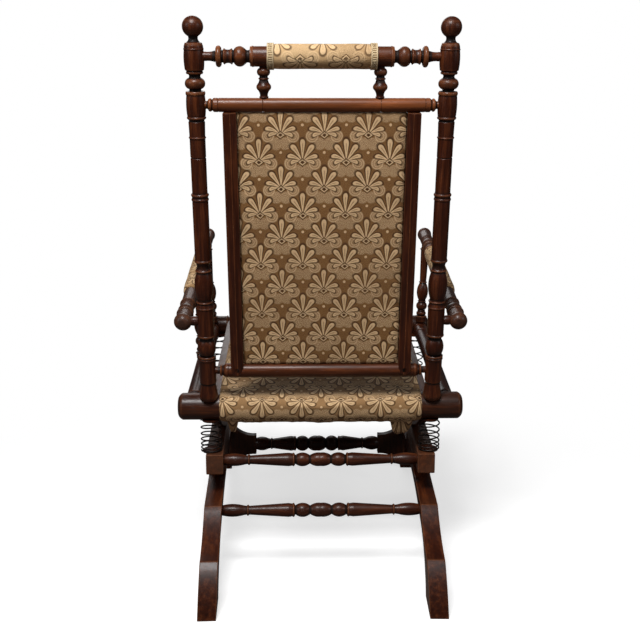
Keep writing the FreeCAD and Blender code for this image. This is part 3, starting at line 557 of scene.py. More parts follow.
# The sawn pieces: boards cut to a curved outline with a bow saw, their edges eased with a spokeshave.
# The base is two square rails on four cyma legs, screwed together from below, with a bracket inside each front leg.

BASE_X, BOARD, BASE_LOW, BASE_TOP = 218.0, 35.0, 199.0, 241.0
SPLAY, LEG_SPREAD = math.radians(2.2), 0.036


def eased(outline, ease):
    """The outline with its corners cut back a little, and how much each point is rubbed."""
    points, lightened = [], []
    count = len(outline)
    for i in range(count):
        before, here, after = (Vector(outline[(i + k) % count]) for k in (-1, 0, 1))
        way_in, way_out = here - before, after - here
        if way_in.angle(way_out) < math.radians(24):
            points.append(here)
            lightened.append(0.0)
            continue
        back = min(ease, way_in.length * 0.45)
        forth = min(ease, way_out.length * 0.45)
        first, last = here - way_in.normalized() * back, here + way_out.normalized() * forth
        points += [first, (first + last) * 0.3 + here * 0.4, last]
        lightened += [-0.4, -1.0, -0.4]
    return points, lightened


def inset(points, depth):
    """A closed outline drawn in by a depth along its own corners."""
    count = len(points)
    area = sum(a.x * b.y - b.x * a.y for a, b in zip(points, points[1:] + points[:1]))
    turn = 1 if area > 0 else -1
    moved = []
    for i in range(count):
        way_in = (points[i] - points[i - 1]).normalized()
        way_out = (points[(i + 1) % count] - points[i]).normalized()
        first, second = (Vector((-w.y, w.x)) * turn for w in (way_in, way_out))
        mitre = (first + second).normalized()
        moved.append(points[i] + mitre * depth / max(mitre.dot(first), 0.4))
    return moved


def skin(name, corners, faces, finish):
    """A smooth piece of one finish from its corners and faces."""
    mesh = bpy.data.meshes.new(name)
    mesh.from_pydata(corners, [], faces)
    mesh.materials.append(finish)
    mesh.shade_smooth()
    return stood(name, mesh)


def sawn(name, outline, thickness, placed, wood, body, ease=1.4):
    """A board of that outline and thickness. placed puts a point of the outline, at a depth, in its place."""
    points, lightened = eased(outline, ease)
    count, land = len(points), ease + 1.5
    edge = [(ease, 0, -0.4), (ease * 0.3, ease * 0.3, -1), (0, ease, -0.4), (0, land, 0)]
    steps = max(2, int(thickness / 25))
    middle = [(0, land + (thickness - 2 * land) * i / steps, 0) for i in range(1, steps)]
    corners, faces, hollow = [], [], []
    for depth, level, wear in edge + middle + [(d, thickness - level, wear) for d, level, wear in edge[::-1]]:
        corners += [placed(point.x, point.y, level) for point in inset(points, depth)]
        hollow += [min(wear, rub) for rub in lightened]
    for low in range(0, len(corners) - count, count):
        for i in range(count):
            j = (i + 1) % count
            faces.append((low + i, low + j, low + count + j, low + count + i))
    faces += [tuple(range(count)), tuple(range(len(corners) - 1, len(corners) - 1 - count, -1))]
    piece = skin(name, corners, faces, wood)
    piece.data.attributes.new("hollow", "FLOAT", "POINT").data.foreach_set("value", np.array(hollow, np.float32))
    return seated(settled(piece, 20), body, "dark_wood", name)


def splayed(side, x, y, z):
    """A point of the base's side: made straight at the rear, opened to the front, its feet set a little apart."""
    cos, sin = math.cos(SPLAY), math.sin(SPLAY)
    dx, dy = x - BASE_X + max(0.0, BASE_LOW - z) * LEG_SPREAD, y - REAR_Y
    return at(side * (BASE_X + dx * cos - dy * sin), REAR_Y + dx * sin + dy * cos, z)


def inner_x(y):
    """Inner face of a side of the base at a place along it."""
    return BASE_X + (REAR_Y - y) * math.tan(SPLAY) - BOARD / 2 / math.cos(SPLAY)


leg_outline = [(355, 0), (442, 0)] + arc((442, 0), (422, 52), (390, 93)) + arc((390, 93), (323, 113), (268, 153))
leg_outline += [(126, 161)] + arc((126, 161), (98, 173), (86, BASE_LOW), 8) + [(0, BASE_LOW), (0, 142)]
leg_outline += arc((0, 142), (181, 132), (274, 111), 16) + arc((274, 111), (339, 67), (355, 0), 16)[:-1]
rail_outline = [(-215, BASE_LOW), (215, BASE_LOW), (215, BASE_TOP), (-215, BASE_TOP)]
leg_wood = walnut("walnut_legs", (0, 1, 0), 0.28)
base_wood = walnut("walnut_base_rails", (0, 1, 0), 0.22, 0.3)

for side, name in SIDES:
    for end, label in ((1, "rear"), (-1, "front")):
        sawn("leg_" + label + "_" + name, leg_outline, BOARD,
             lambda reach, z, w: splayed(side, BASE_X - BOARD / 2 + w, end * reach, z), leg_wood, "base")
    sawn("base_rail_" + name, rail_outline, BOARD,
         lambda y, z, w: splayed(side, BASE_X - BOARD / 2 + w, y, z), base_wood, "base", 1.8)

BRACKET_Y, BRACKET_Z, BRACKET_REACH, BRACKET_BOARD = -233.0, 113.0, 62.0, 22.0
outer = inner_x(BRACKET_Y)
inner, across = outer - BRACKET_REACH, outer - BRACKET_REACH / 2
bracket = [(outer + 6, -46), (outer + 6, 46), (outer - 8, 46)]
bracket += arc((outer - 8, 46), (across, 29.5), (inner, 25)) + [(inner, -25)]
bracket += arc((inner, -25), (across, -29.5), (outer - 8, -46))
# The brackets are darkened heavily, partly as painted shade under the seat.
bracket_wood = walnut("walnut_brackets", (0, 0, 1), 0.45)
for side, name in SIDES:
    sawn("stretcher_bracket_" + name, bracket, BRACKET_BOARD,
         lambda x, up, w: at(side * x, BRACKET_Y - BRACKET_BOARD / 2 + w, BRACKET_Z + up), bracket_wood, "base")


# The stretchers: turned bars between the two sides of the base, with a barrel and two balls in the middle.
# The front lower one is thicker and ends in the sawn brackets.

# The stretchers are darkened partly as painted shade under the seat.
stretcher_wood = walnut("walnut_stretchers", ACROSS, 0.3, 0.06)


def stretcher(radius, reach):
    half = Turning(radius)
    half.curve(22, radius * 0.97, radius * 0.62).curve(30, radius * 1.02, radius * 0.66)
    half.run(2, radius * 0.92).ring(1.2).to(66, radius).to(0.72 * reach, radius * 0.64)
    half.ring(2.2, 5.0).run(6, radius * 0.7).curve(reach - half.length, radius * 0.92, radius * 0.7)
    return half.both_ways()


for name, y, z, radius, longer in (
        ("rear_upper", 182, 219, 14, 0), ("rear_lower", 233, 129, 14, (BASE_LOW - 129) * LEG_SPREAD),
        ("front_upper", -182, 219, 14, 0), ("front_lower", BRACKET_Y, BRACKET_Z, 19, -BRACKET_REACH)):
    outline = stretcher(radius, inner_x(y) + TENON + longer)
    turned("stretcher_" + name, outline, at(0, y, z), ACROSS, stretcher_wood, "base")


# The rockers: a board on each side under the seat, let in between the seat rails.
# A small nose in the middle of the sole stands on the base rail, and the chair turns on it.

PIVOT_Z, NOSE, NOSE_TURN, SOLE = 291.4, 50.0, math.radians(10), 480.0
ROCKER_HALF, ROCKER_X, ROCKER_BOARD, BAR_HALF = 152.0, 216.5, 18.0, 15.0
nose_y, nose_z = NOSE * math.sin(NOSE_TURN), PIVOT_Z - NOSE * math.cos(NOSE_TURN)


def sole(turn):
    return (nose_y + SOLE * (math.sin(turn) - math.sin(NOSE_TURN)),
            nose_z + SOLE * (math.cos(NOSE_TURN) - math.cos(turn)))


sole_turn = math.asin(math.sin(NOSE_TURN) + (ROCKER_HALF - nose_y) / SOLE)
tip, middle = sole(sole_turn), sole((NOSE_TURN + sole_turn) / 2)
rocker_back, rocker_front = REAR_Y - 22.5, FRONT_Y + 11.5
low_back, low_front = (rocker_back, tip[1] + 12), seat_line(-tip[0] - 22, -BAR_HALF)
rocker_outline = [(-nose_y, nose_z)] + arc((-nose_y, nose_z), (0, PIVOT_Z - NOSE), (nose_y, nose_z), 6)
rocker_outline += arc((nose_y, nose_z), middle, tip, 14) + [low_back, seat_line(rocker_back, BAR_HALF)]
rocker_outline += [seat_line(rocker_front, BAR_HALF), seat_line(rocker_front, -BAR_HALF), low_front]
rocker_outline += arc(low_front, (-tip[0] - 4, (low_front[1] + tip[1]) / 2 + 8), (-tip[0], tip[1]), 8)
rocker_outline += arc((-tip[0], tip[1]), (-middle[0], middle[1]), (-nose_y, nose_z), 14)[:-1]
rocker_wood = walnut("walnut_rockers", FORWARD, 0.35)
for side, name in SIDES:
    sawn("rocker_" + name, rocker_outline, ROCKER_BOARD,
         lambda y, z, w: at(side * (ROCKER_X - ROCKER_BOARD / 2 + w), y, z), rocker_wood, "chair", 0.9)


# The stiles: the two uprights of the back panel, bevelled on their inner side, between the two lower back rails.
# Their round lower ends lap the bottom rail and are screwed to it.

STILE_OUTER, STILE_WIDTH, STILE_DEPTH, STILE_REAR = 178.0, 24.0, 20.0, 18.5
STILE_LOW, STILE_HIGH = 80.0, 592.5
bevel = STILE_WIDTH * 0.45
stile_inner = STILE_OUTER - STILE_WIDTH
stile_section = [(STILE_OUTER, STILE_REAR), (stile_inner + bevel, STILE_REAR),
                 (stile_inner, STILE_REAR - bevel * 0.6), (stile_inner, STILE_REAR - STILE_DEPTH),
                 (STILE_OUTER, STILE_REAR - STILE_DEPTH)]
dense = []
for (ax, ay), (bx, by) in zip(stile_section, stile_section[1:] + stile_section[:1]):
    cuts = max(1, round(math.hypot(bx - ax, by - ay) / 1.6))
    dense += [(ax + (bx - ax) * i / cuts, ay + (by - ay) * i / cuts) for i in range(cuts)]
stile_wood = walnut("walnut_stiles", UP, 0.32)


def on_stile(side, x, behind, up):
    """Rounds the lower end of the stile."""
    half = STILE_WIDTH / 2
    across = max(-1.0, min(1.0, (x - STILE_OUTER + half) / half))
    near = max(0.0, 1 - up / half)
    return on_back(side * x, behind, STILE_LOW + up + near * half * (1 - math.sqrt(1 - across * across * 0.995)))


for side, name in SIDES:
    sawn("back_stile_" + name, dense, STILE_HIGH - STILE_LOW, lambda x, b, w: on_stile(side, x, b, w),
         stile_wood, "chair", 0.8)


# The springs: a steel coil stands between each end of a base rail and the seat rail above it.
# It is forced over a turned plug at each end; the front ones are longer and lean forward with the seat.

steel = Finish("spring_steel")
rust = steel.clouds(steel.place(), 240.0, 6.0, 0.7)
speckle = rust.over(0.5, 0.68)
dark_steel = steel.mix(speckle, tint(38, 34, 33), tint(70, 44, 30))
steel_finish = steel.surface(Base_Color=dark_steel, Metallic=0.9 - speckle * 0.7, Roughness=0.4 + speckle * 0.4,
                             Normal=steel.bump(rust, 0.0003, 0.4))

coil = Recipe("coil", Foot=Vector((0, 0, 0)), Head=Vector((0, 0, 1)), Turns=6, Radius=0.0205, Wire=0.0015,
              Closed=0.5, Points_per_turn=36)
steps = coil.size("Turns") * coil.size("Points_per_turn")
share = coil.node("GeometryNodeInputIndex") / steps
angle = share * coil.size("Turns") * (2 * math.pi)
closed = coil.size("Closed")
rise = closed * share + (1 - closed) * share * share
drift = rise * rise * (3 - rise * 2)
fx, fy, fz = coil.parts(coil.size("Foot"))
hx, hy, hz = coil.parts(coil.size("Head"))
ring_x = coil.maths("COSINE", angle) * coil.size("Radius")
ring_y = coil.maths("SINE", angle) * coil.size("Radius")
place = coil.whole(fx + (hx - fx) * drift + ring_x, fy + (hy - fy) * drift + ring_y, fz + (hz - fz) * rise)
straight = coil.node("GeometryNodeMeshLine", {"Count": steps + 1})
helix = coil.node("GeometryNodeSetPosition", {"Geometry": straight, "Position": place})
wire_line = coil.node("GeometryNodeMeshToCurve", {0: helix})
wire_round = coil.node("GeometryNodeCurvePrimitiveCircle", {"Resolution": 12, "Radius": coil.size("Wire")})
coil.give(coil.node("GeometryNodeCurveToMesh", {"Curve": wire_line, "Profile Curve": wire_round,
                                                "Fill Caps": True}))

WIRE_LIFT = 1.8
for side, name in SIDES:
    for label, turns, shut, foot, head in (
            ("rear", 6, 0.5, (225, 185, BASE_TOP), (225, 185, 308.5)),
            ("front", 11, 0.8, (240, -190, BASE_TOP), (250, -280, 387.5))):
        low = at(side * foot[0], foot[1], foot[2] + WIRE_LIFT)
        high = at(side * head[0], head[1], head[2] - WIRE_LIFT)
        spring = coil.make("spring_" + label + "_" + name + "_coil", bpy.data.meshes.new("coil"), Finish=steel_finish,
                           Foot=low, Head=high, Turns=turns, Closed=shut)
        settled(spring)
        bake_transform(spring)
        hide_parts("spring_" + label + "_" + name)

for node, finish in (("spring_plugs_base", spindle_wood), ("spring_plugs_chair", spindle_wood),
                     ("leg_screws", steel_finish), ("stile_screws", steel_finish)):
    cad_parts[node].data.materials.clear()
    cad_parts[node].data.materials.append(finish)


# The damask: an old furnishing cloth in tan on olive brown, woven with palmettes in a half drop.
# Each palmette is a spear between three pairs of lobes over a small diamond, scrolls and a patch of dots.

COLUMN, ROW = 0.0798, 0.0497


def palmette(cloth, x, y):
    """One palmette round its foot, in metres: its lobes and their outlines, its veins and its small ornaments."""
    reach = (x * x + y * y) ** 0.5
    turn = cloth.maths("ARCTAN2", x, y)
    lobes = veins = None
    for middle, length, spread, droop in ((0, 0.041, 8.6, 0), (30, 0.0365, 9.8, 4), (58, 0.0295, 10.5, 12),
                                          (84, 0.0225, 12.0, 14)):
        along = reach / length
        off = abs(turn - math.radians(middle) - along * along * math.radians(droop)) / math.radians(spread)
        tip = ((along - 0.78) / 0.22) | 0.0
        root = ((0.2 - along) / 0.1) | 0.0
        lobe = 1 - off * off - tip * tip - root * root
        vein = off.over(0.34, 0.1) * along.over(0.36, 0.46) * along.over(0.86, 0.76)
        lobes = lobe if lobes is None else lobes | lobe
        veins = vein if veins is None else veins | vein
    cup = 1 - (x / 0.0078 + abs(y + 0.0020) / 0.0062)
    from_side = ((x - 0.0225) ** 2 + (y + 0.0040) ** 2) ** 0.5
    scroll = abs(from_side - 0.0098).over(0.0016, 0.0007) | abs(from_side - 0.0058).over(0.0012, 0.0004)
    beads = cloth.maths("SINE", (x + y) * 1650.0) * cloth.maths("SINE", (x - y) * 1650.0)
    bed = (((x - 0.0085) ** 2 + (y + 0.0175) ** 2) ** 0.5).over(0.0130, 0.0095)
    dots = abs(beads).over(0.32, 0.62) * (bed | from_side.over(0.0125, 0.0108) * 0.8)
    return lobes, veins, cup, scroll, dots


def damask(name, where, pale=0.0, shift=(0.0, 0.0), flip=1.0, wear=0.3):
    """The cloth, with its pattern on a pair of coordinates in metres."""
    cloth = Finish(name)
    u, v = where(cloth)
    u, v = u + shift[0], v * flip + shift[1]
    waver = cloth.clouds(cloth.whole(u, v), 38.0, 1.0)
    parts = []
    for step_u, step_v in ((0.0, 0.0), (COLUMN / 2, ROW)):
        x = cloth.maths("PINGPONG", u + step_u + waver * 0.0022, COLUMN / 2)
        y = cloth.maths("WRAP", v + step_v + 0.004 + waver * 0.0022, ROW, -ROW) - 0.004
        spot = ((x * x + (y + 0.0335) ** 2) ** 0.5).over(0.0031, 0.0020)
        parts.append(palmette(cloth, x, y) + (spot,))
    lobes, veins, cup, scroll, dots, spots = (a | b for a, b in zip(*parts))
    weft = cloth.maths("SINE", v * 5200.0)
    warp = cloth.maths("SINE", u * 6100.0)
    slub = cloth.clouds(cloth.whole(u * 300.0, v * 900.0), 1.0, 3.0)
    lit = lobes.over(0.0, 0.35) * (1 - veins * 0.6)
    line = lobes.over(-1.5, -0.45) * lobes.over(0.12, -0.1)
    rim = cup.over(0.0, 0.14) * (1 - cup.over(0.4, 0.52))
    gem_line = cup.over(-0.45, -0.2) * cup.over(0.05, -0.05)
    behind = 1 - lobes.over(-0.6, 0.0)
    figure = (lit | rim | spots | (scroll * behind * 0.7) | (dots * behind)) & 1.0
    dark = (line * 0.85) | (gem_line * 0.85) | (cup.over(0.4, 0.52) * 0.85)
    grains = cloth.clouds(cloth.whole(u, v), 700.0, 2.0).over(0.3, 0.7)
    ground = cloth.mix(slub * 0.5 + grains * 0.55, tint(84, 52, 22), tint(166, 126, 80))
    ground = cloth.mix(pale, ground, tint(238, 208, 164))
    colour = cloth.mix(figure * (0.5 + slub * 0.35 + grains * 0.25), ground, tint(252, 224, 184))
    colour = cloth.mix(dark * (0.75 + grains * 0.25), colour, tint(50, 28, 10))
    faded = cloth.clouds(cloth.place(), 7.0, 4.0).over(0.35, 0.75)
    colour = cloth.mix(faded * wear, colour, tint(132, 100, 66))
    relief = figure * 0.8 - dark * 0.6 + weft * 0.16 + warp * 0.1 + slub * 0.5
    colour = cloth.mix(1.0, colour, (0.78, 0.7, 0.6, 1), "MULTIPLY")
    return cloth.surface(Base_Color=colour, Roughness=0.86 - figure * 0.16, Normal=cloth.bump(relief, 0.0006, 0.8),
                         Specular_IOR_Level=0.25, Sheen_Weight=0.05)


def on_panel(cloth):
    """Across the back, and up along its lean."""
    across, _, up = cloth.parts(cloth.stretched(cloth.place(), (1, 1, 1), (LEAN, 0, 0)))
    return across, up


def on_cut(cloth):
    """Along the cloth itself, as it was cut, in metres."""
    return cloth.parts(cloth.uv())[:2]


# The outside back: the cloth is stretched between the stiles and the rails over a thin liner.
# Its edges are turned in and tacked, so it dips along them and draws into small pulls at the tacks.

PANEL_HALF, PANEL_LOW, PANEL_HIGH = 153.5, 99.0, 592.0


def grid(name, columns, rows, place, cover):
    """A grid of quads. place gives the point at a column and a row, each from 0 to 1."""
    corners = [place(i / columns, j / rows) for j in range(rows + 1) for i in range(columns + 1)]
    wide = columns + 1
    faces = [(j * wide + i, j * wide + i + 1, (j + 1) * wide + i + 1, (j + 1) * wide + i)
             for j in range(rows) for i in range(columns)]
    return skin(name, corners, faces, cover)


def on_opening(s, t):
    """A place across and up the panel, and how far it is from the panel's sides and from its ends."""
    x = (2 * s - 1) * PANEL_HALF
    up = PANEL_LOW + (PANEL_HIGH - PANEL_LOW) * t
    return x, up, PANEL_HALF - abs(x), min(up - PANEL_LOW, PANEL_HIGH - up)


def back_panel(s, t):
    x, up, side, end = on_opening(s, t)
    dip = 4.2 * math.exp(-side / 4.0) + 3.4 * math.exp(-end / 4.0)
    pulls = 0.7 * (math.exp(-side / 16.0) * math.sin(up / 4.6) + math.exp(-end / 16.0) * math.sin(x / 4.4))
    loose = 0.9 * noise.noise(Vector((x / 70, up / 90, 3.1)))
    fill = 1.6 * (1 - (x / PANEL_HALF) ** 2) * (1 - (2 * t - 1) ** 2)
    return on_back(x, 6.2 - dip + pulls + loose + fill, up)


outside = grid("back_cloth_outside", 110, 170, back_panel,
               damask("damask_back", on_panel, shift=(0.0035, -0.0263)))
wall = outside.modifiers.new("cloth", "SOLIDIFY")
wall.thickness, wall.offset = 0.0008, -1.0
seated(outside, "chair", "tapestry", "back_cloth")


# The seat: hair and wadding under the damask, drawn over the front and rear rails and tacked beneath them.
# Its cover is one width of cloth; two torn tongues of it hang loose below the rear rail.

def plumped(piece, free, cap):
    """Lets the cover swell over its stuffing where it is free, and no further than the cap."""
    mesh = piece.data
    rest = [v.co.copy() for v in mesh.vertices]
    held = piece.vertex_groups.new(name="tacked")
    for vertex in mesh.vertices:
        held.add([vertex.index], 0.0 if free(vertex.co) else 1.0, "REPLACE")
    cloth = piece.modifiers.new("cloth", "CLOTH")
    cloth.settings.quality = 5
    cloth.settings.mass = 0.3
    cloth.settings.tension_stiffness = cloth.settings.compression_stiffness = 25
    cloth.settings.bending_stiffness = 1.2
    cloth.settings.vertex_group_mass = "tacked"
    cloth.settings.use_pressure = True
    cloth.settings.uniform_pressure_force = 4.0
    cloth.settings.effector_weights.gravity = 0
    cloth.collision_settings.use_collision = False
    scene = bpy.context.scene
    for step in range(1, 21):
        scene.frame_set(step)
    graph = bpy.context.evaluated_depsgraph_get()
    shape = [v.co.copy() for v in piece.evaluated_get(graph).data.vertices]
    piece.modifiers.clear()
    piece.vertex_groups.clear()
    for vertex, start, end in zip(mesh.vertices, rest, shape):
        move = end - start
        if move.length > cap:
            move *= cap / move.length
        vertex.co = start + move
    scene.frame_set(1)


def sleeve(name, columns, rows, point, flat, cover):
    """A closed sleeve with shut ends, from a point at a share of its length and a row round it.

    flat gives the same place on the cut cloth, where the row after the last lies beyond it."""
    wide = columns + 1
    corners = [point(i / columns, j) for j in range(rows) for i in range(wide)]
    faces = []
    for j in range(rows):
        k = (j + 1) % rows
        faces += [(j * wide + i, j * wide + i + 1, k * wide + i + 1, k * wide + i) for i in range(columns)]
    faces += [tuple(j * wide for j in range(rows)), tuple(j * wide + columns for j in reversed(range(rows)))]
    piece = skin(name, corners, faces, cover)
    layer = piece.data.uv_layers.new(name="cut")
    for face in piece.data.polygons:
        wraps = len(face.vertices) == 4 and {vertex // wide for vertex in face.vertices} == {0, rows - 1}
        for loop, vertex in zip(face.loop_indices, face.vertices):
            j, i = divmod(vertex, wide)
            layer.data[loop].uv = flat(i / columns, rows if wraps and j == 0 else j)
    return piece


REAR_WRAP, FRONT_WRAP, SEAT_HALF, SEAT_COLUMNS, REAR_STEPS = 33.0, 25.0, 206.0, 110, 36
SEAT_TACKED = 6.0
toward_front = math.atan2(SEAT_RISE, -SEAT_RUN)


def wrapped(y, z, radius, start, end, steps):
    """Points round a rail, from one angle to another."""
    turns = [start + (end - start) * i / steps for i in range(steps + 1)]
    return [Vector((y + math.cos(turn) * radius, z + math.sin(turn) * radius)) for turn in turns]


def seat_section():
    """The seat cut from front to rear, as one loop: round the rear rail, over the seat and round the front rail."""
    points = wrapped(REAR_Y, RAIL_Z, REAR_WRAP, toward_front, math.pi * 2.5, REAR_STEPS)
    crown = ((REAR_Y + FRONT_Y) / 2, (RAIL_Z + REAR_WRAP + FRONT_Z + FRONT_WRAP) / 2 + 11)
    points += [Vector(p) for p in arc(tuple(points[-1]), crown, (FRONT_Y, FRONT_Z + FRONT_WRAP), 56)]
    points += wrapped(FRONT_Y, FRONT_Z, FRONT_WRAP, math.pi / 2, toward_front + math.pi, 24)[1:]
    first, last = points[0], points[-1]
    return points + [last + (first - last) * i / 40 for i in range(1, 40)]


seat_cut = seat_section()
lengths, outward = [0.0], []
for before, here, after in zip(seat_cut[-1:] + seat_cut[:-1], seat_cut, seat_cut[1:] + seat_cut[:1]):
    lengths.append(lengths[-1] + (after - here).length)
    outward.append(Vector((after.y - before.y, before.x - after.x)).normalized())


def seat_x(s):
    """A place across the seat. They lie closer together toward its sides."""
    return SEAT_HALF * math.copysign(1 - (1 - abs(2 * s - 1)) ** 1.25, 2 * s - 1)


def seat_point(s, j):
    """A point of the seat's cover: its sides are drawn in and rounded over, and it sags under the rear rail."""
    x = seat_x(s)
    edge = SEAT_HALF - abs(x)
    draw = 3.4 * max(0.0, 1 - edge / 30) ** 2 + 3.0 * math.exp(-edge / 2.5)
    point = seat_cut[j] - outward[j] * draw
    low = max(0.0, (RAIL_Z - 6 - point.y) / 27) if point.x > REAR_Y - 24 else 0.0
    sag = low * (2.4 * noise.noise(Vector((x / 34, 1.7, 0))) + 1.4 * noise.noise(Vector((x / 13, 5.2, 0))) + 0.8)
    lumps = 1.1 * noise.noise(Vector((x / 85, seat_cut[j].x / 85, seat_cut[j].y / 85)))
    if j <= REAR_STEPS and outward[j].y < -0.9:
        under = ((-outward[j].y - 0.9) / 0.1) ** 1.5
        tongue = max(0.0, 1 - abs((x + 167) / 23) ** 5) * (27 + (x + 167) * 0.16)
        tongue += max(0.0, 1 - abs((x - 180) / 10) ** 4) * 24
        point = point - Vector((0.12 * tongue * under, tongue * under))
    point = point + outward[j] * lumps - Vector((0, 1)) * max(0.0, sag)
    return at(x, point.x, point.y)


def on_seat_cloth(s, j):
    return seat_x(s) / 1000, (lengths[REAR_STEPS] - lengths[j]) / 1000


seat = sleeve("seat_stuffed", SEAT_COLUMNS, len(seat_cut), seat_point, on_seat_cloth,
              damask("damask_seat", on_cut, 0.2, shift=(0.0, 0.02)))
plumped(seat, lambda p: abs(p.x) * 1000 < SEAT_HALF - SEAT_TACKED
        and p.z * 1000 > seat_line(p.y * 1000, 6)[1], cap=0.005)
settled(seat, 75)
seated(seat, "chair", "tapestry", "seat_pad")


# The back toward the sitter: wadding on the liner under the same damask, crowned between the stiles and the rails.
# It is tacked all round on their front sides, so its edges draw in.

STUFFED_DEPTH, FREE_DEPTH, EDGE_WIDTH, BACK_TACKED, LINER = 22.0, 20.0, 22.0, 10.5, 2.0


def stuffed_back(s, t):
    x, up, *edges = on_opening(s, t)
    side, end = (max(0.0, 1 - edge / EDGE_WIDTH) ** 2 for edge in edges)
    lumps = 2 * noise.noise(Vector((x / 60, up / 60, 8)))
    crown = 14 * (1 - (x / PANEL_HALF) ** 2) * (1 - (2 * t - 1) ** 4) + lumps
    return on_back(x, -STUFFED_DEPTH - crown + 17 * min(1.0, math.sqrt(side * side + end * end)), up)


inside = grid("back_stuffed", 64, 100, stuffed_back, damask("damask_inside", on_panel, shift=(0.0, 0.03)))
shell = bmesh.new()
shell.from_mesh(inside.data)
walls = bmesh.ops.extrude_edge_only(shell, edges=[edge for edge in shell.edges if edge.is_boundary])["geom"]
for corner in walls:
    if isinstance(corner, bmesh.types.BMVert):
        corner.co += BEHIND * (on_back(0, LINER, 0) - corner.co).dot(BEHIND)
bmesh.ops.holes_fill(shell, edges=[edge for edge in walls if isinstance(edge, bmesh.types.BMEdge)], sides=0)
shell.to_mesh(inside.data)
shell.free()
settled(inside, 60)
plumped(inside, lambda p: abs(p.x) * 1000 < PANEL_HALF - BACK_TACKED
        and (p - on_back(0, -FREE_DEPTH, 0)).dot(BEHIND) < 0, cap=0.006)
seated(inside, "chair", "tapestry", "back_pad")


# The rolls: the head roll round the crest rail, and a pad round each arm, of wadding under the damask.
# Each is sewn along its underside and drawn tight, with small lumps where the wadding has gathered.

def roll(name, start, way, seam, length, radius, cover, swell):
    """A padded sleeve along a bar, from its seam round."""
    across = way.cross(seam)
    rows = 72

    def point(s, j):
        place, turn = length * s, 2 * math.pi * j / rows
        edge = min(place, length - place)
        lump = 0.6 * noise.noise(Vector((place / 40, math.cos(turn) * 1.5, math.sin(turn) * 1.5)))
        near = radius + lump + swell * min(1.0, edge / 20) - 1.6 * math.exp(-edge / 2.0)
        return start + way * (place / 1000) + (seam * math.cos(turn) + across * math.sin(turn)) * (near / 1000)

    def flat(s, j):
        return length * s / 1000, 2 * math.pi * radius * j / rows / 1000

    return settled(sleeve(name, int(length / 2.5), rows, point, flat, cover), 60)


HEAD_HALF = 97.0
head_cloth = damask("damask_head", on_cut, 0.72, shift=(0.0225, 0.027), flip=-1.0, wear=0.4)
head = roll("head_roll_stuffed", on_back(-HEAD_HALF, 0, CREST_UP), ACROSS, -UP, 2 * HEAD_HALF, 20.6,
            head_cloth, 0.9)
seated(head, "chair", "tapestry", "head_roll")

arm_cloth = damask("damask_arms", on_cut, 0.35, wear=0.5)
for side, name in SIDES:
    pad = roll("arm_pad_" + name + "_stuffed", arm_start(side) + ARM_WAY * (PAD_START / 1000), ARM_WAY,
               ACROSS.cross(ARM_WAY), PAD_LENGTH, 16.6, arm_cloth, 1.4)
    seated(pad, "chair", "tapestry", "arm_pad_" + name)


# The braid: a cream gimp glued round each end of the head roll over the tacks.
# It is a narrow tape with a cord along each edge and a row of upright loops between them.

gimp = Finish("gimp")
threads = gimp.clouds(gimp.place(), 900.0, 3.0)
soil = gimp.clouds(gimp.place(), 60.0, 4.0).over(0.4, 0.7)
cream = gimp.mix(threads, tint(172, 148, 110), tint(220, 200, 164))
cream = gimp.mix(soil * 0.5, cream, tint(140, 112, 76))
gimp_finish = gimp.surface(Base_Color=cream, Roughness=0.85, Normal=gimp.bump(threads, 0.0004, 0.6))

braid = Recipe("braid", Radius=0.0220, Width=0.0120, Loops=36, Cord=0.0013)
band = braid.node("GeometryNodeCurvePrimitiveCircle", {"Resolution": 96, "Radius": braid.size("Radius")})
cord_round = braid.node("GeometryNodeCurvePrimitiveCircle", {"Resolution": 8, "Radius": braid.size("Cord")})
rope = braid.node("GeometryNodeCurveToMesh", {"Curve": band, "Profile Curve": cord_round})
half_width = braid.size("Width") / 2 - braid.size("Cord")
edges = [braid.node("GeometryNodeTransform", {"Geometry": rope, "Translation": braid.whole(z=half_width * way)})
         for way in (1, -1)]
stations = braid.node("GeometryNodeCurveToPoints", {"Curve": band, "Count": braid.size("Loops")})
station_turns = Term(braid, stations.socket.node.outputs["Rotation"])
loop_line = braid.node("GeometryNodeCurvePrimitiveCircle", {"Resolution": 14, "Radius": half_width * 0.92})
loop_round = braid.node("GeometryNodeCurvePrimitiveCircle", {"Resolution": 6, "Radius": braid.size("Cord") * 0.75})
loop_shape = braid.node("GeometryNodeCurveToMesh", {"Curve": loop_line, "Profile Curve": loop_round})
loop_shape = braid.node("GeometryNodeTransform", {"Geometry": loop_shape, "Rotation": (0, math.pi / 2, 0),
                                                  "Scale": (0.55, 1, 1)})
loops = braid.node("GeometryNodeInstanceOnPoints", {"Points": stations, "Instance": loop_shape,
                                                    "Rotation": station_turns})
tape = braid.node("GeometryNodeMeshCylinder", {"Vertices": 96, "Radius": braid.size("Radius") - 0.0005,
                                               "Depth": braid.size("Width") - 0.0012})
gathered = braid.node("GeometryNodeJoinGeometry", {0: edges[0]})
for part in (edges[1], loops, tape):
    braid.tree.links.new(part.socket, gathered.socket.node.inputs[0])
braid.give(gathered)

BRAID_FROM_END = 5.8
braids = []
for side in (1, -1):
    ring = braid.make("braid", bpy.data.meshes.new("braid"), Finish=gimp_finish)
    centre = on_back(side * (HEAD_HALF - BRAID_FROM_END), 0, CREST_UP)
    ring.data.transform(Matrix.Translation(centre) @ Matrix.Rotation(math.pi / 2, 4, "Y"))
    braids.append(ring)
seated(settled(joined("head_roll_gimp", braids), 60), "chair", "braid", "head_roll_braid")


# The webbing: four jute straps under the stuffing, each tacked to the rear rail and the front rail.
# They carry the seat and hang a little between the rails.

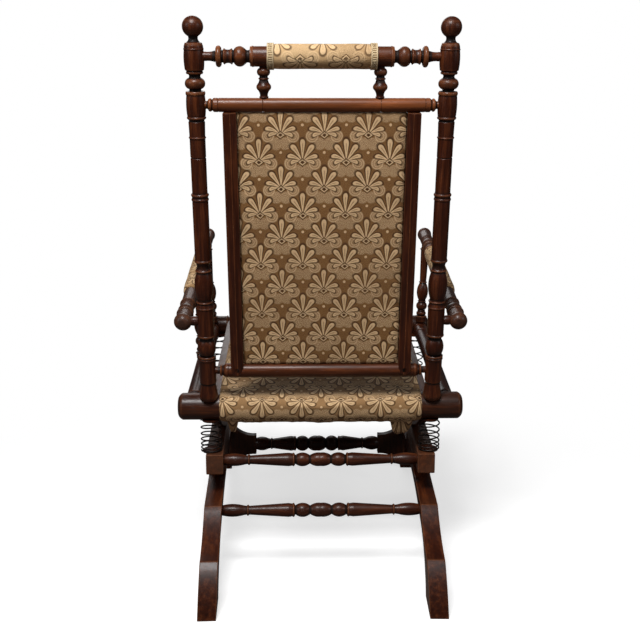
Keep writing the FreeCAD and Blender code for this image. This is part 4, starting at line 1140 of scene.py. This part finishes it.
jute = Finish("jute")
weave = jute.maths("SINE", jute.parts(jute.place())[0] * 3900.0)
fuzz = jute.clouds(jute.place(), 500.0, 4.0)
jute_colour = jute.mix(fuzz * 0.6 + weave * 0.15, tint(96, 76, 50), tint(150, 124, 86))
jute_finish = jute.surface(Base_Color=jute_colour, Roughness=0.9, Normal=jute.bump(fuzz + weave * 0.4, 0.0008, 0.7))

STRAP_GAP, STRAP_WIDTH, STRAPS = 8.0, 50.0, 4
strap_start = at(0, REAR_Y, RAIL_Z) + FORWARD * ((REAR_RADIUS + STRAP_GAP) / 1000)
strap_length = BETWEEN_RAILS - 2 * STRAP_GAP
pitch = 2 * (ROCKER_X - ROCKER_BOARD) / (STRAPS + 0.5)


def strap_point(x, s, t):
    """A point of the strap at x: it starts a little under the rails' axes and sags in the middle."""
    sag = 2.2 + 3 * math.sin(math.pi * t)
    return strap_start + at(x + (s - 0.5) * STRAP_WIDTH, 0, -sag) + FORWARD * (t * strap_length / 1000)


webbing = joined("seat_webbing_straps", [
    grid("strap", 8, 60, lambda s, t: strap_point((i - (STRAPS - 1) / 2) * pitch, s, t), jute_finish)
    for i in range(STRAPS)])
wall = webbing.modifiers.new("strap", "SOLIDIFY")
wall.thickness, wall.offset = 0.0016, 0.0
seated(webbing, "chair", "webbing", "seat_webbing")


# The room: a pale floor that runs out of sight in a white room, and the chair's own faint shadow on it.
# The light is soft: a large lamp above and behind the viewer, one on each side, and one before the chair.

floor_mesh = bpy.data.meshes.new("floor")
floor_mesh.from_pydata([(-20, -20, 0), (20, -20, 0), (20, 20, 0), (-20, 20, 0)], [], [(0, 1, 2, 3)])
floor = stood("floor", floor_mesh)
ground = Finish("floor")
seen = ground.node("ShaderNodeLightPath")
x, y, _ = ground.parts(ground.place())
far = (((x / 1.1) ** 2 + ((y - 0.1) / 1.3) ** 2) ** 0.5).over(0.55, 1.0)
pale = ground.mix(seen, (0.14, 0.12, 0.11, 1), (0.6, 0.6, 0.6, 1))
pale = ground.mix(seen * far, pale, (0, 0, 0, 1))
glow = ground.mix(seen * (0.6 + far * 0.4), (0, 0, 0, 1), (1, 1, 1, 1))
floor_mesh.materials.append(ground.surface(Base_Color=pale, Roughness=1.0, Specular_IOR_Level=0.0,
                                           Emission_Color=glow, Emission_Strength=1.0))

world = bpy.data.worlds.new("studio")
bpy.context.scene.world = world
world.use_nodes = True
sky = Nodes(world.node_tree)
backdrop = world.node_tree.nodes["Background"]
sky.feed(backdrop.inputs["Color"], (1, 1, 1, 1))
sky.feed(backdrop.inputs["Strength"], sky.node("ShaderNodeLightPath") * 0.93 + 0.07)

for name, place, aim, size, power in (
        ("lamp_above", (0.4, 1.6, 2.7), (0, 0.2, 0.6), 0.9, 80),
        ("lamp_left", (2.4, 1.6, 1.7), (0, 0.1, 0.6), 1.0, 12),
        ("lamp_right", (-2.4, 1.6, 1.7), (0, 0.1, 0.6), 1.0, 12),
        ("lamp_front", (0.3, -3.0, 2.4), (0, 0, 0.5), 1.8, 24)):
    light = bpy.data.lights.new(name, "AREA")
    light.shape, light.size, light.energy = "SQUARE", size, power
    lamp = stood(name, light)
    lamp.location = place
    lamp.rotation_euler = (Vector(aim) - Vector(place)).to_track_quat("-Z", "Y").to_euler()
